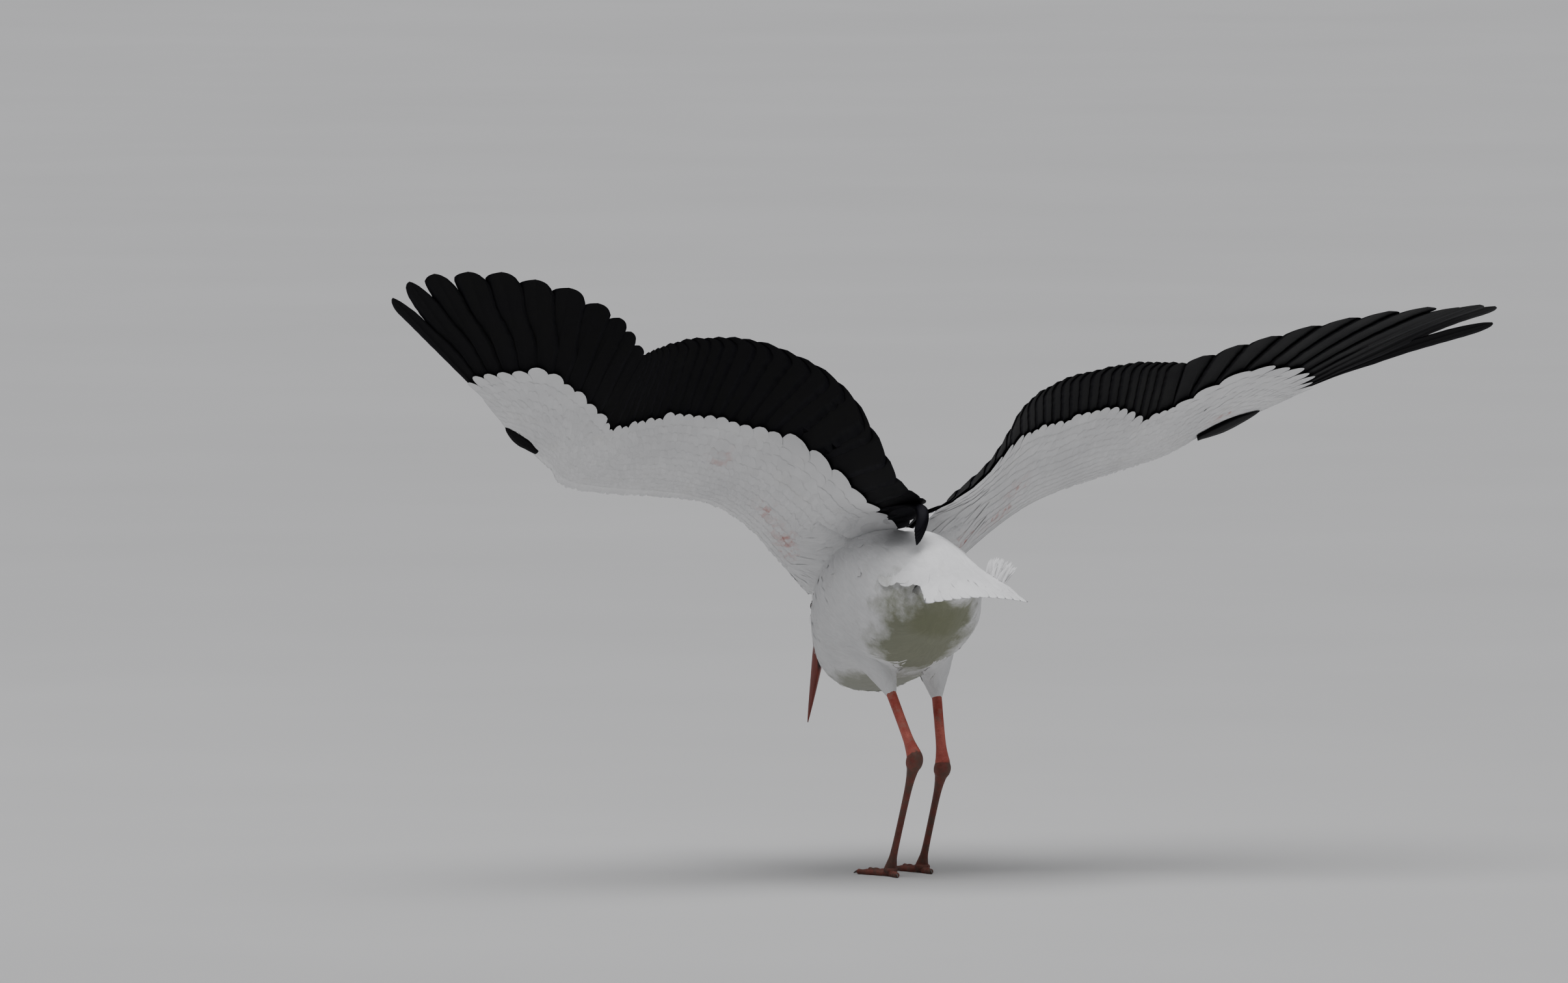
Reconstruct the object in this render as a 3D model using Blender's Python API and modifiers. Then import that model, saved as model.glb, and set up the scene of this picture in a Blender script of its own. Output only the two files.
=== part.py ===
"""White stork (Ciconia ciconia), life size, bowing with both wings raised and spread.

Metres, +Z up. The bird faces -Y, so +X is its left. The origin is on the floor, under the middle of the
whole bird's box. Every shape is laid out first in the bird's own terms (left, ahead, up), measured from the
floor point between its feet, and finish_part() moves the whole bird to the origin.
"""

import math

import bmesh
import bpy
import numpy as np

# ---------------------------------------------------------------- sizes, in metres, and angles, in degrees

GAP = 0.0003  # clear space kept between two pieces that meet
WALL = 0.0016  # thickness of a feather vane as a solid

# Trunk, rump to breast: (ahead, top, bottom, half width)
TRUNK = (
    (-0.206, 0.492, 0.466, 0.020),
    (-0.193, 0.502, 0.430, 0.042),
    (-0.162, 0.513, 0.388, 0.066),
    (-0.112, 0.526, 0.346, 0.088),
    (-0.052, 0.534, 0.319, 0.100),
    (0.010, 0.538, 0.300, 0.106),
    (0.070, 0.534, 0.283, 0.109),
    (0.120, 0.525, 0.271, 0.107),
    (0.158, 0.511, 0.271, 0.096),
    (0.188, 0.492, 0.291, 0.075),
    (0.208, 0.467, 0.322, 0.050),
    (0.219, 0.438, 0.356, 0.024),
)
TRUNK_SIDE_HEIGHT = 0.46  # where the trunk is widest, as a share of its depth from below
TRUNK_SQUARENESS = 2.25  # exponent of the trunk's section, 2 for an ellipse

# Neck, breast to skull, in the bird's middle plane: (ahead, up, radius)
NECK = (
    (0.140, 0.432, 0.066),
    (0.196, 0.456, 0.053),
    (0.243, 0.496, 0.042),
    (0.286, 0.522, 0.0345),
    (0.323, 0.514, 0.0300),
    (0.341, 0.480, 0.0275),
    (0.334, 0.443, 0.0265),
    (0.323, 0.412, 0.0255),
)
NECK_SPLIT = 0.47  # share of the neck's length in its lower piece

# Head and bill point down and a little forward
BILL_BASE = (0.330, 0.365)  # (ahead, up), where the bill meets the face
BILL_LEAN = 21.0  # degrees forward of straight down
BILL_LENGTH = 0.172
BILL_HALF_WIDTH = 0.0125
BILL_UPPER_HEIGHT = 0.0165
BILL_LOWER_DEPTH = 0.0130
HEAD_LENGTH = 0.072
# Head, back of the skull to the face: (along, height to the crown, depth to the chin, half width)
HEAD = (
    (0.000, 0.009, 0.009, 0.009),
    (0.006, 0.0185, 0.0175, 0.0170),
    (0.018, 0.0255, 0.0235, 0.0225),
    (0.032, 0.0270, 0.0250, 0.0235),
    (0.046, 0.0245, 0.0235, 0.0215),
    (0.060, 0.0190, 0.0200, 0.0175),
    (0.072, 0.0160, 0.0160, 0.0132),
)
EYE_RADIUS = 0.0075
EYE_ALONG = 0.046
EYE_SIDE = 0.0158
EYE_RISE = 0.0045

# Tail fan
TAIL_FEATHERS = 12
TAIL_ROOT = (-0.176, 0.497)  # (ahead, up) of the point that the fan spreads from
TAIL_START = 0.026
TAIL_LENGTH = 0.168
TAIL_SLOPE = 17.0  # degrees below level, going back
TAIL_HALF_SPREAD = 21.0
TAIL_HALF_ROOT = 0.024
TAIL_TURN = 4.0  # degrees that the fan swings to the bird's left
TAIL_ARCH = 0.012  # how far the fan's edges lie below its middle

# Legs, each joint by its place outwards, ahead and up; 1 is the left leg and -1 the right
KNEE_OUT = 0.052
KNEE_UP = 0.392
KNEE_AHEAD = {1: 0.036, -1: 0.022}
ANKLE_OUT = {1: 0.031, -1: 0.036}
ANKLE_AHEAD = {1: -0.120, -1: -0.069}
ANKLE_UP = {1: 0.190, -1: 0.172}
FOOT_OUT = {1: 0.031, -1: 0.038}
FOOT_AHEAD = {1: -0.021, -1: 0.020}
TOE_ROOT_UP = 0.012
# Feathered thigh, from inside the body downwards along knee to ankle: (share, radius fore and aft, radius sideways)
THIGH = (
    (-0.10, 0.050, 0.034),
    (0.06, 0.052, 0.038),
    (0.22, 0.043, 0.033),
    (0.36, 0.029, 0.023),
    (0.47, 0.0175, 0.0145),
    (0.550, 0.0115, 0.0095),
)
# Bare shank: (share of knee to ankle, radius fore and aft, radius sideways)
SHANK = (
    (0.552, 0.0092, 0.0078),
    (0.72, 0.0086, 0.0073),
    (0.86, 0.0090, 0.0078),
    (0.935, 0.0118, 0.0096),
    (0.985, 0.0138, 0.0114),
)
# Tarsus: (share of ankle to foot, radius fore and aft, radius sideways)
TARSUS = (
    (-0.045, 0.0115, 0.0095),
    (0.00, 0.0148, 0.0125),
    (0.055, 0.0135, 0.0125),
    (0.12, 0.0100, 0.0085),
    (0.28, 0.0072, 0.0056),
    (0.60, 0.0065, 0.0050),
    (0.86, 0.0068, 0.0056),
    (0.95, 0.0085, 0.0078),
)
# Toes: (degrees outwards from straight ahead, length with claw)
TOES = {"inner": (-26.0, 0.066), "middle": (2.0, 0.088), "outer": (30.0, 0.072), "hind": (176.0, 0.036)}
TOE_RADIUS = 0.0056

# Wing, laid out flat: x runs outwards from the shoulder and y backwards
HUMERUS = 0.205
FOREARM = 0.240
HAND = 0.165
HUMERUS_BACK = 15.0  # degrees that each bone points backwards in the flat wing
FOREARM_BACK = -10.0
HAND_BACK = 12.0
# Each wing's pose: the shoulder as (left, ahead, up), then an angle at the humerus, the forearm and the hand.
# tertial_rise lifts the innermost feathers clear of the back, at their middle and at their tip. outer_slot is
# how far the outermost primary stands free of the next one, and tip_sag how far the longest feathers bend down.
WINGS = {
    1: {
        "shoulder": (0.088, 0.135, 0.466),
        "elevation": (43.0, 3.5, 28.5),
        "sweep": (8.0, 3.5, -23.5),
        "pronation": (24.0, 45.0, 39.0),
        "tertial_rise": (0.056, 0.050),
        "outer_slot": 0.080,
        "tip_sag": 0.0,
    },
    -1: {
        "shoulder": (0.084, 0.108, 0.458),
        "elevation": (36.0, 16.5, 19.0),
        "sweep": (8.0, -9.0, -22.5),
        "pronation": (32.0, 33.0, 25.5),
        "tertial_rise": (0.050, 0.014),
        "outer_slot": 0.270,
        "tip_sag": 0.022,
    },
}
FOREARM_BLEND = (0.060, 0.300)  # x over which the humerus's angles give way to the forearm's
HAND_BLEND = (0.32, 0.64)
CAMBER = 0.005  # how far a feather 0.3 m behind the bone lifts

TERTIALS = 6
SECONDARIES = 18
PRIMARIES = 11
FIRST_SECONDARY = TERTIALS
FIRST_PRIMARY = TERTIALS + SECONDARIES
LAST_FEATHER = FIRST_PRIMARY + PRIMARIES
COVERT_REACH = ((0, 0.120), (6, 0.134), (20, 0.137), (24, 0.131), (30, 0.118), (35, 0.092))
SECONDARY_LENGTH = ((0, 0.280), (2, 0.306), (4, 0.315), (6, 0.316), (18, 0.301), (24, 0.280))
PRIMARY_LENGTH = ((0.0, 0.296), (0.2, 0.340), (0.4, 0.391), (0.6, 0.428), (0.8, 0.440), (0.9, 0.430), (1.0, 0.398))
SLOT_DEPTH = ((24, 0.012), (27, 0.014), (28, 0.022), (29, 0.036), (30, 0.060), (31, 0.070), (33, 0.080))
ARM_THICKNESS = ((0, 0.046), (6, 0.034), (14, 0.024), (24, 0.019), (35, 0.009))
LEADING_EDGE = ((-0.04, -0.068), (0.06, -0.052), (0.13, -0.034), (0.20, -0.018), (0.30, -0.011), (0.44, -0.007))
LEADING_EDGE_HAND = ((0.462, -0.002), (0.49, 0.018), (0.56, 0.034), (0.60, 0.036))
ALULA_FRONT = ((0.468, 0.000), (0.54, 0.016), (0.59, 0.029))
ALULA_SPAN = (0.472, 0.578)

WHITE = (0.83, 0.83, 0.82)
BLACK = (0.012, 0.012, 0.014)
LEG_RED = (0.45, 0.085, 0.055)
TARSUS_BROWN = (0.16, 0.065, 0.045)
BILL_RED = (0.40, 0.045, 0.022)
EYE_BROWN = (0.030, 0.018, 0.012)


# ---------------------------------------------------------------- small helpers


def world(left, ahead, up):
    """A point given in the bird's terms, as (x, y, z)."""
    return np.array([left, -ahead, up], float)


def keyed(keys, at):
    """The value at a place along (place, value) keys."""
    places, values = zip(*keys)
    return np.interp(at, places, values)


def smoothstep(x, start, end):
    t = np.clip((x - start) / (end - start), 0.0, 1.0)
    return t * t * (3 - 2 * t)


def unit(v):
    v = np.asarray(v, float)
    return v / np.linalg.norm(v, axis=-1, keepdims=True)


def smooth_rows(rows, count):
    """Rows of numbers, joined by Catmull-Rom curves and read at evenly spaced places along them."""
    rows = np.asarray(rows, float)
    padded = np.vstack([2 * rows[0] - rows[1], rows, 2 * rows[-1] - rows[-2]])
    spot = np.linspace(0, len(rows) - 1, count)
    i = np.minimum(spot.astype(int), len(rows) - 2)
    t = (spot - i)[:, None]
    before, start, end, after = (padded[i + k] for k in range(4))
    return 0.5 * (
        2 * start
        + (end - before) * t
        + (2 * before - 5 * start + 4 * end - after) * t**2
        + (3 * start - before - 3 * end + after) * t**3
    )


def collection(name):
    made = bpy.data.collections.new(name)
    bpy.context.scene.collection.children.link(made)
    return made


def material(name, colour, roughness):
    made = bpy.data.materials.new(name)
    made.use_nodes = True
    shader = made.node_tree.nodes["Principled BSDF"]
    shader.inputs["Base Color"].default_value = (*colour, 1)
    shader.inputs["Roughness"].default_value = roughness
    return made


def add_object(name, bm, finish, group):
    """A named object from a bmesh, with its faces turned outwards and shaded smooth."""
    bmesh.ops.recalc_face_normals(bm, faces=bm.faces)
    mesh = bpy.data.meshes.new(name)
    bm.to_mesh(mesh)
    bm.free()
    mesh.shade_smooth()
    made = bpy.data.objects.new(name, mesh)
    made.data.materials.append(finish)
    group.objects.link(made)
    return made


def loft(rings):
    """A closed bmesh through rings of equal point counts, each end capped by a fan."""
    bm = bmesh.new()
    loops = [[bm.verts.new(p) for p in ring] for ring in rings]
    for a, b in zip(loops, loops[1:]):
        for i in range(len(a)):
            j = (i + 1) % len(a)
            bm.faces.new((a[i], a[j], b[j], b[i]))
    for loop in (loops[0], loops[-1]):
        middle = bm.verts.new(np.mean([v.co for v in loop], axis=0))
        for i in range(len(loop)):
            bm.faces.new((loop[i], loop[(i + 1) % len(loop)], middle))
    return bm


def tube_rings(centres, radii, side, points):
    """Elliptic rings square to a path: radii are (fore and aft, sideways), and side is roughly the sideways axis."""
    centres = np.asarray(centres, float)
    along = unit(np.gradient(centres, axis=0))
    across = unit(np.asarray(side) - (along @ np.asarray(side))[:, None] * along)
    third = np.cross(along, across)
    angle = np.linspace(0, 2 * math.pi, points, endpoint=False)
    fore, sideways = np.asarray(radii, float).T
    return (
        centres[:, None]
        + third[:, None] * (fore[:, None] * np.cos(angle))[..., None]
        + across[:, None] * (sideways[:, None] * np.sin(angle))[..., None]
    )


def cut(target, cutter):
    """Subtracts the cutter, which has GAP of room round it already."""
    modifier = target.modifiers.new("cut_" + cutter.name, "BOOLEAN")
    modifier.operation = "DIFFERENCE"
    modifier.object = cutter
    modifier.solver = "EXACT"


def clearance_copy(source, group):
    """A hidden copy of a piece, grown by GAP on every side, for cutting its neighbours."""
    copy = bpy.data.objects.new(source.name + "_clearance", source.data.copy())
    group.objects.link(copy)
    copy.hide_render = True
    copy.display_type = "WIRE"
    grow = copy.modifiers.new("grow", "DISPLACE")
    grow.strength = 1.5 * GAP
    grow.mid_level = 0.0
    return copy


# ---------------------------------------------------------------- trunk, neck, head and bill


def trunk_rings(points=20, stations=15):
    angle = np.linspace(0, 2 * math.pi, points, endpoint=False)
    flat = 2 / TRUNK_SQUARENESS
    across = np.sign(np.cos(angle)) * np.abs(np.cos(angle)) ** flat
    upward = np.sign(np.sin(angle)) * np.abs(np.sin(angle)) ** flat
    rings = []
    for ahead, top, bottom, half_width in smooth_rows(TRUNK, stations):
        middle = bottom + (top - bottom) * TRUNK_SIDE_HEIGHT
        height = middle + upward * np.where(upward > 0, top - middle, middle - bottom)
        rings.append([world(x, ahead, z) for x, z in zip(half_width * across, height)])
    return rings


def neck_rings(start, end, points=14, stations=8):
    """The neck's rings between two shares of its length."""
    rows = smooth_rows(NECK, 61)
    place = np.linspace(start, end, stations) * (len(rows) - 1)
    ahead, up, radius = (np.interp(place, range(len(rows)), rows[:, k]) for k in range(3))
    centres = np.stack([world(0, a, z) for a, z in zip(ahead, up)])
    return tube_rings(centres, np.stack([radius, radius * 0.94], axis=1), (1, 0, 0), points)


def head_axes():
    """The bill's direction and the direction from chin to crown, as (x, y, z)."""
    lean = math.radians(BILL_LEAN)
    forward = world(0, math.sin(lean), -math.cos(lean))
    crown = world(0, math.cos(lean), math.sin(lean))
    return forward, crown


def head_point(along, rise, left):
    """A point of the head: along from the back of the skull, rise towards the crown, left of its middle."""
    forward, crown = head_axes()
    face = world(0, *BILL_BASE)
    return face + forward * (along - HEAD_LENGTH) + crown * rise + np.array([left, 0, 0])


def head_rings(points=16, stations=10):
    angle = np.linspace(0, 2 * math.pi, points, endpoint=False)
    rings = []
    for along, rise, depth, half_width in smooth_rows(HEAD, stations):
        height = np.where(np.sin(angle) > 0, rise, depth) * np.sin(angle)
        rings.append([head_point(along, z, x) for x, z in zip(half_width * np.cos(angle), height)])
    return rings


def bill_rings(upper, points=7, stations=9):
    """One mandible: half an ellipse on a flat cutting edge, tapering to the tip."""
    sign = 1 if upper else -1
    arc = np.linspace(0, math.pi, points)
    rings = []
    for share in np.linspace(0, 1, stations):
        taper = (1 - share) ** 0.86
        half_width = BILL_HALF_WIDTH * taper + 0.0010
        if upper:
            height = BILL_UPPER_HEIGHT * taper + 0.0012
            reach = BILL_LENGTH
        else:
            height = BILL_LOWER_DEPTH * (1 - share**1.7) + 0.0011
            reach = BILL_LENGTH * 0.985
        edge = 0.0022 * share**2 + sign * GAP / 2
        along = HEAD_LENGTH + GAP + reach * share
        rings.append(
            [head_point(along, edge + sign * height * math.sin(a), half_width * math.cos(a)) for a in arc]
        )
    return rings


def make_head(finishes, group, cutters):
    head = add_object("head", loft(head_rings()), finishes["white"], group)
    for side, name in ((1, "left"), (-1, "right")):
        centre = head_point(EYE_ALONG, EYE_RISE, side * EYE_SIDE)
        for grown, label in ((0, "eye_" + name), (GAP * 1.6, "eye_socket_" + name)):
            bm = bmesh.new()
            bmesh.ops.create_uvsphere(bm, u_segments=12, v_segments=7, radius=EYE_RADIUS + grown)
            eye = add_object(label, bm, finishes["eye"], cutters if grown else group)
            eye.location = centre
            if grown:
                eye.hide_render = True
                eye.display_type = "WIRE"
                cut(head, eye)
    add_object("bill_upper", loft(bill_rings(True)), finishes["bill"], group)
    add_object("bill_lower", loft(bill_rings(False)), finishes["bill"], group)
    return head


def make_body(finishes, group, cutters):
    """Trunk, neck in two lengths, and head."""
    trunk = add_object("trunk", loft(trunk_rings()), finishes["white"], group)
    trunk_room = clearance_copy(trunk, cutters)
    head = make_head(finishes, group, cutters)
    head_room = clearance_copy(head, cutters)
    seam = GAP / 0.6  # as a share of the neck's length
    lower = add_object("neck_lower", loft(neck_rings(0, NECK_SPLIT - seam)), finishes["white"], group)
    cut(lower, trunk_room)
    upper = add_object("neck_upper", loft(neck_rings(NECK_SPLIT + seam, 1)), finishes["white"], group)
    cut(upper, head_room)
    cut(lower, clearance_copy(upper, cutters))
    return trunk_room


# ---------------------------------------------------------------- feather fans


def fan_of_feathers(name, spot, first, count, start, joined_to, tip_of, finish, group, free_rows):
    """One plate of feathers side by side, each with its own tip.

    spot(a, s) places the point s along the ray a, where feather k lies between rays k and k + 1. The feathers
    are joined from start(a) to joined_to(a), and from there each one runs free to its own tip_of(k, across),
    where across is -1 to 1 and width is the share of its width that the tip keeps.
    """
    bm = bmesh.new()
    edge = 0.05  # keeps two plates that share a ray apart
    columns = 2
    joined_rows = free_rows
    for k in range(first, first + count):
        grid = []
        for row in range(joined_rows + free_rows + 1):
            line = []
            for column in range(columns + 1):
                across = 2 * column / columns - 1
                free = max(0, row - joined_rows) / free_rows
                tip, width = tip_of(k, across, free)
                ray = k + 0.5 + 0.5 * across * width
                ray = min(max(ray, first + edge), first + count - edge)
                if row <= joined_rows:
                    reach = start(ray) + (joined_to(ray) - start(ray)) * row / joined_rows
                else:
                    reach = joined_to(ray) + (tip - joined_to(ray)) * free
                line.append(bm.verts.new(spot(ray, reach)))
            grid.append(line)
        for a, b in zip(grid, grid[1:]):
            for i in range(columns):
                bm.faces.new((a[i], a[i + 1], b[i + 1], b[i]))
    bmesh.ops.remove_doubles(bm, verts=bm.verts, dist=1e-5)
    made = add_object(name, bm, finish, group)
    wall = made.modifiers.new("wall", "SOLIDIFY")
    wall.thickness = WALL
    wall.offset = 0
    return made


def make_tail(finishes, group, trunk_room):
    slope = math.radians(TAIL_SLOPE)

    def spot(ray, reach):
        share = 2 * ray / TAIL_FEATHERS - 1
        turn = math.radians(TAIL_TURN + share * TAIL_HALF_SPREAD)
        left = share * TAIL_HALF_ROOT + math.sin(turn) * reach
        back = math.cos(turn) * reach
        arch = TAIL_ARCH * (reach / TAIL_LENGTH) * share**2
        ahead = TAIL_ROOT[0] - back * math.cos(slope)
        return world(left, ahead, TAIL_ROOT[1] - back * math.sin(slope) - arch)

    def tip_of(k, across, free):
        share = (2 * k + 1) / TAIL_FEATHERS - 1
        return TAIL_LENGTH * (1 - 0.035 * share**2) - 0.009 * across**2, 1 - 0.12 * free

    tail = fan_of_feathers(
        "tail_feathers",
        spot,
        0,
        TAIL_FEATHERS,
        lambda ray: TAIL_START,
        lambda ray: TAIL_LENGTH * 0.90,
        tip_of,
        finishes["white"],
        group,
        free_rows=1,
    )
    cut(tail, trunk_room)


# ---------------------------------------------------------------- wings


class Wing:
    """A wing laid out flat by its bones and feather rays, then bent into its pose."""

    def __init__(self, side):
        self.side = side
        pose = WINGS[side]
        bones = ((HUMERUS, HUMERUS_BACK), (FOREARM, FOREARM_BACK), (HAND, HAND_BACK))
        joints = [np.zeros(2)]
        for length, back in bones:
            turn = math.radians(back)
            joints.append(joints[-1] + length * np.array([math.cos(turn), math.sin(turn)]))
        self.joints = joints
        middle, tip = pose["tertial_rise"]
        self.rise_keys = ((0, 0), (0.12, middle), (0.262, tip))
        self.sag = pose["tip_sag"]
        self.slots = (*SLOT_DEPTH, (LAST_FEATHER - 1, pose["outer_slot"]))
        self.x = np.linspace(-0.12, 1.02, 229)
        to_forearm = smoothstep(self.x, *FOREARM_BLEND)
        to_hand = smoothstep(self.x, *HAND_BLEND)

        def blended(values):
            inner, middle, outer = np.radians(values)
            return inner + (middle - inner) * to_forearm + (outer - middle) * to_hand

        elevation, sweep, pronation = (blended(pose[k]) for k in ("elevation", "sweep", "pronation"))
        out = np.array([side, 0.0, 0.0])
        ahead = world(0, 1, 0)
        up = np.array([0, 0, 1.0])
        level = np.outer(np.cos(sweep), out) + np.outer(np.sin(sweep), ahead)
        span = level * np.cos(elevation)[:, None] + np.outer(np.sin(elevation), up)
        back = np.outer(np.sin(sweep), out) - np.outer(np.cos(sweep), ahead)
        rise = side * np.cross(span, back)
        self.chord = back * np.cos(pronation)[:, None] + rise * np.sin(pronation)[:, None]
        self.normal = rise * np.cos(pronation)[:, None] - back * np.sin(pronation)[:, None]
        line = np.cumsum(span, axis=0) * (self.x[1] - self.x[0])
        nearest = np.argmin(np.abs(self.x))
        self.line = line - line[nearest] + world(side * pose["shoulder"][0], *pose["shoulder"][1:])

    def place(self, flat, root, lift=0.0):
        """A point of the flat wing on the ray from this root, lift above its upper side, in the pose."""
        x, y = flat
        turn = (x + root[0]) / 2  # a ray turns half as fast as the bones do, so that neighbours never cross

        def read(table, at):
            return np.array([np.interp(at, self.x, table[:, k]) for k in range(3)])

        lift = lift + CAMBER * (y / 0.3) ** 2 * np.sign(y)
        return read(self.line, x) + y * read(self.chord, turn) + lift * read(self.normal, turn)

    def root(self, ray):
        """Where a feather ray leaves the bones, in the flat wing."""
        shoulder, elbow, wrist, tip = self.joints
        if ray <= FIRST_SECONDARY:
            return shoulder + (elbow - shoulder) * (0.10 + 0.90 * ray / FIRST_SECONDARY)
        if ray <= FIRST_PRIMARY:
            return elbow + (wrist - elbow) * (ray - FIRST_SECONDARY) / SECONDARIES
        return wrist + (tip - wrist) * (ray - FIRST_PRIMARY) / PRIMARIES

    def direction(self, ray):
        """A feather ray's direction in the flat wing."""
        if ray < FIRST_PRIMARY:
            angle = keyed(((0, 95), (FIRST_SECONDARY, 98), (FIRST_PRIMARY, 81.5)), ray)
        else:
            share = (ray - FIRST_PRIMARY - 0.5) / (PRIMARIES - 1)
            angle = 77 - 88 * share + 21 * share**2
        angle = math.radians(angle)
        return np.array([math.cos(angle), math.sin(angle)])

    def length(self, feather):
        """A feather's length from the bones, by its number."""
        if feather < FIRST_PRIMARY:
            return keyed(SECONDARY_LENGTH, feather + 0.5)
        return keyed(PRIMARY_LENGTH, (feather - FIRST_PRIMARY) / (PRIMARIES - 1))

    def slot_start(self, ray):
        """How far out two neighbouring feathers stay joined."""
        low = math.floor(ray)

        def at_edge(edge):
            shorter = min(self.length(max(edge - 1, 0)), self.length(min(edge, LAST_FEATHER - 1)))
            return shorter - keyed(self.slots, edge)

        return at_edge(low) + (at_edge(low + 1) - at_edge(low)) * (ray - low)

    def rise(self, ray, reach):
        """How far the innermost feathers are lifted to lie over the back."""
        return max(0.0, 1 - max(ray, 0) / 3.5) * keyed(self.rise_keys, reach)

    def spot(self, ray, reach):
        """The point reach along a feather ray."""
        root = self.root(ray)
        sag = self.sag * smoothstep(ray, FIRST_PRIMARY - 3, FIRST_PRIMARY + 1) * max(0, (reach - 0.15) / 0.28) ** 2
        return self.place(root + self.direction(ray) * reach, root, self.rise(ray, reach) - sag)

    def leading_edge(self, ray):
        x = self.root(ray)[0]
        return np.array([x, keyed(LEADING_EDGE + LEADING_EDGE_HAND, x)])


def arm_rings(wing, rays, points=5):
    """Closed sections of the arm with its coverts, from the leading edge to where the long feathers show."""
    rings = []
    for ray in rays:
        inner = ray < 0
        root = wing.root(max(ray, 0)) + (wing.joints[1] * (0.9 * ray / FIRST_SECONDARY) if inner else 0)
        front = np.array([root[0], keyed(LEADING_EDGE + LEADING_EDGE_HAND, root[0])])
        reach = keyed(COVERT_REACH, ray) - 3 * GAP
        back = root + wing.direction(max(ray, 0)) * reach
        thick = keyed(ARM_THICKNESS, ray)
        upper, lower = [], []
        for share in np.linspace(0, 1, points + 1):
            flat = front + (back - front) * share**1.35
            swell = thick * (2.6 * math.sqrt(share) * (1 - share) ** 1.1 + 0.06 * share) / 1.25
            swell = max(swell, WALL / 2 * (1 if share > 0.5 else 2.4))
            rise = wing.rise(ray, reach * share**1.35)
            upper.append(wing.place(flat, root, rise + 0.60 * swell))
            lower.append(wing.place(flat, root, rise - 0.45 * swell))
        rings.append(upper + lower[::-1])
    return rings


def make_wing(side, name, finishes, group, trunk_room):
    wing = Wing(side)
    seam = 0.012  # as a share of one feather's width
    lengths = {
        "upper_arm": (-1.6, FIRST_SECONDARY - seam, 7),
        "forearm": (FIRST_SECONDARY + seam, FIRST_PRIMARY - seam, 10),
        "hand": (FIRST_PRIMARY + seam, LAST_FEATHER, 12),
    }
    for part, (first, last, stations) in lengths.items():
        rings = arm_rings(wing, np.linspace(first, last, stations))
        made = add_object(f"wing_{name}_{part}", loft(rings), finishes["white"], group)
        if part == "upper_arm":
            cut(made, trunk_room)

    def covert_end(ray):
        return keyed(COVERT_REACH, ray) + 3 * GAP

    def rounded_tip(k, across, free):
        return wing.length(k) - 0.010 * across**2, 1 - 0.18 * free

    def finger_tip(k, across, free):
        pointed = smoothstep(k, FIRST_PRIMARY + 3, FIRST_PRIMARY + 9)
        width = 1 - free**1.5 * (0.30 + 0.40 * pointed)
        return wing.length(k) - (0.012 - 0.009 * pointed) * across**2, width

    groups = (
        ("tertials", 0, TERTIALS, rounded_tip, 1),
        ("secondaries", FIRST_SECONDARY, SECONDARIES, rounded_tip, 1),
        ("primaries", FIRST_PRIMARY, PRIMARIES, finger_tip, 3),
    )
    for part, first, count, tip_of, free_rows in groups:
        fan_of_feathers(
            f"wing_{name}_{part}",
            wing.spot,
            first,
            count,
            covert_end,
            wing.slot_start,
            tip_of,
            finishes["black"],
            group,
            free_rows=free_rows,
        )
        if part == "tertials":
            cut(group.objects[f"wing_{name}_tertials"], trunk_room)
    make_alula(wing, name, finishes, group)


def make_alula(wing, name, finishes, group):
    """The thumb's small feathers, lying just ahead of the hand's leading edge."""
    rings = []
    for share in np.linspace(0, 1, 7):
        x = ALULA_SPAN[0] + (ALULA_SPAN[1] - ALULA_SPAN[0]) * share
        behind = keyed(LEADING_EDGE + LEADING_EDGE_HAND, x) - 8 * GAP
        front = keyed(ALULA_FRONT, x)
        half = 0.0026 - 0.0012 * share
        flat = np.array([[x, behind], [x, (behind + front) / 2], [x, front]])
        outline = ((0, half), (1, half + 0.001), (2, half / 2), (2, -half / 2), (1, -half), (0, -half))
        rings.append([wing.place(flat[i], flat[i], lift) for i, lift in outline])
    add_object(f"wing_{name}_alula", loft(rings), finishes["black"], group)


# ---------------------------------------------------------------- legs


def leg_points(side):
    knee = world(side * KNEE_OUT, KNEE_AHEAD[side], KNEE_UP)
    ankle = world(side * ANKLE_OUT[side], ANKLE_AHEAD[side], ANKLE_UP[side])
    foot = world(side * FOOT_OUT[side], FOOT_AHEAD[side], TOE_ROOT_UP)
    return knee, ankle, foot


def bone_rings(start, end, rows, points, stations):
    """Rings along a straight bone, from rows of (share, radius fore and aft, radius sideways)."""
    rows = smooth_rows(rows, stations)
    centres = start + (end - start) * rows[:, :1]
    return tube_rings(centres, rows[:, 1:], (1, 0, 0), points)


def toe_rings(root, heading, length, points=6, stations=8):
    """A toe with three pads and a claw, flat underneath where it rests on the floor."""
    direction = world(math.sin(heading), math.cos(heading), 0)
    across = world(math.cos(heading), -math.sin(heading), 0)
    angle = np.linspace(0, 2 * math.pi, points, endpoint=False)
    rings = []
    for share in np.linspace(0, 1, stations):
        pad = 1 + 0.10 * math.cos(2 * math.pi * share * 3)
        radius = TOE_RADIUS * (1.12 - 0.38 * share) * pad if share < 0.86 else TOE_RADIUS * 0.42
        if share == 1:
            radius = TOE_RADIUS * 0.16
        height = radius * 0.80
        centre = root + direction * length * share
        ring = []
        for a in angle:
            point = centre + across * radius * math.cos(a)
            point[2] = max(0.0, height + radius * math.sin(a))
            ring.append(point)
        rings.append(ring)
    return rings


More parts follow.
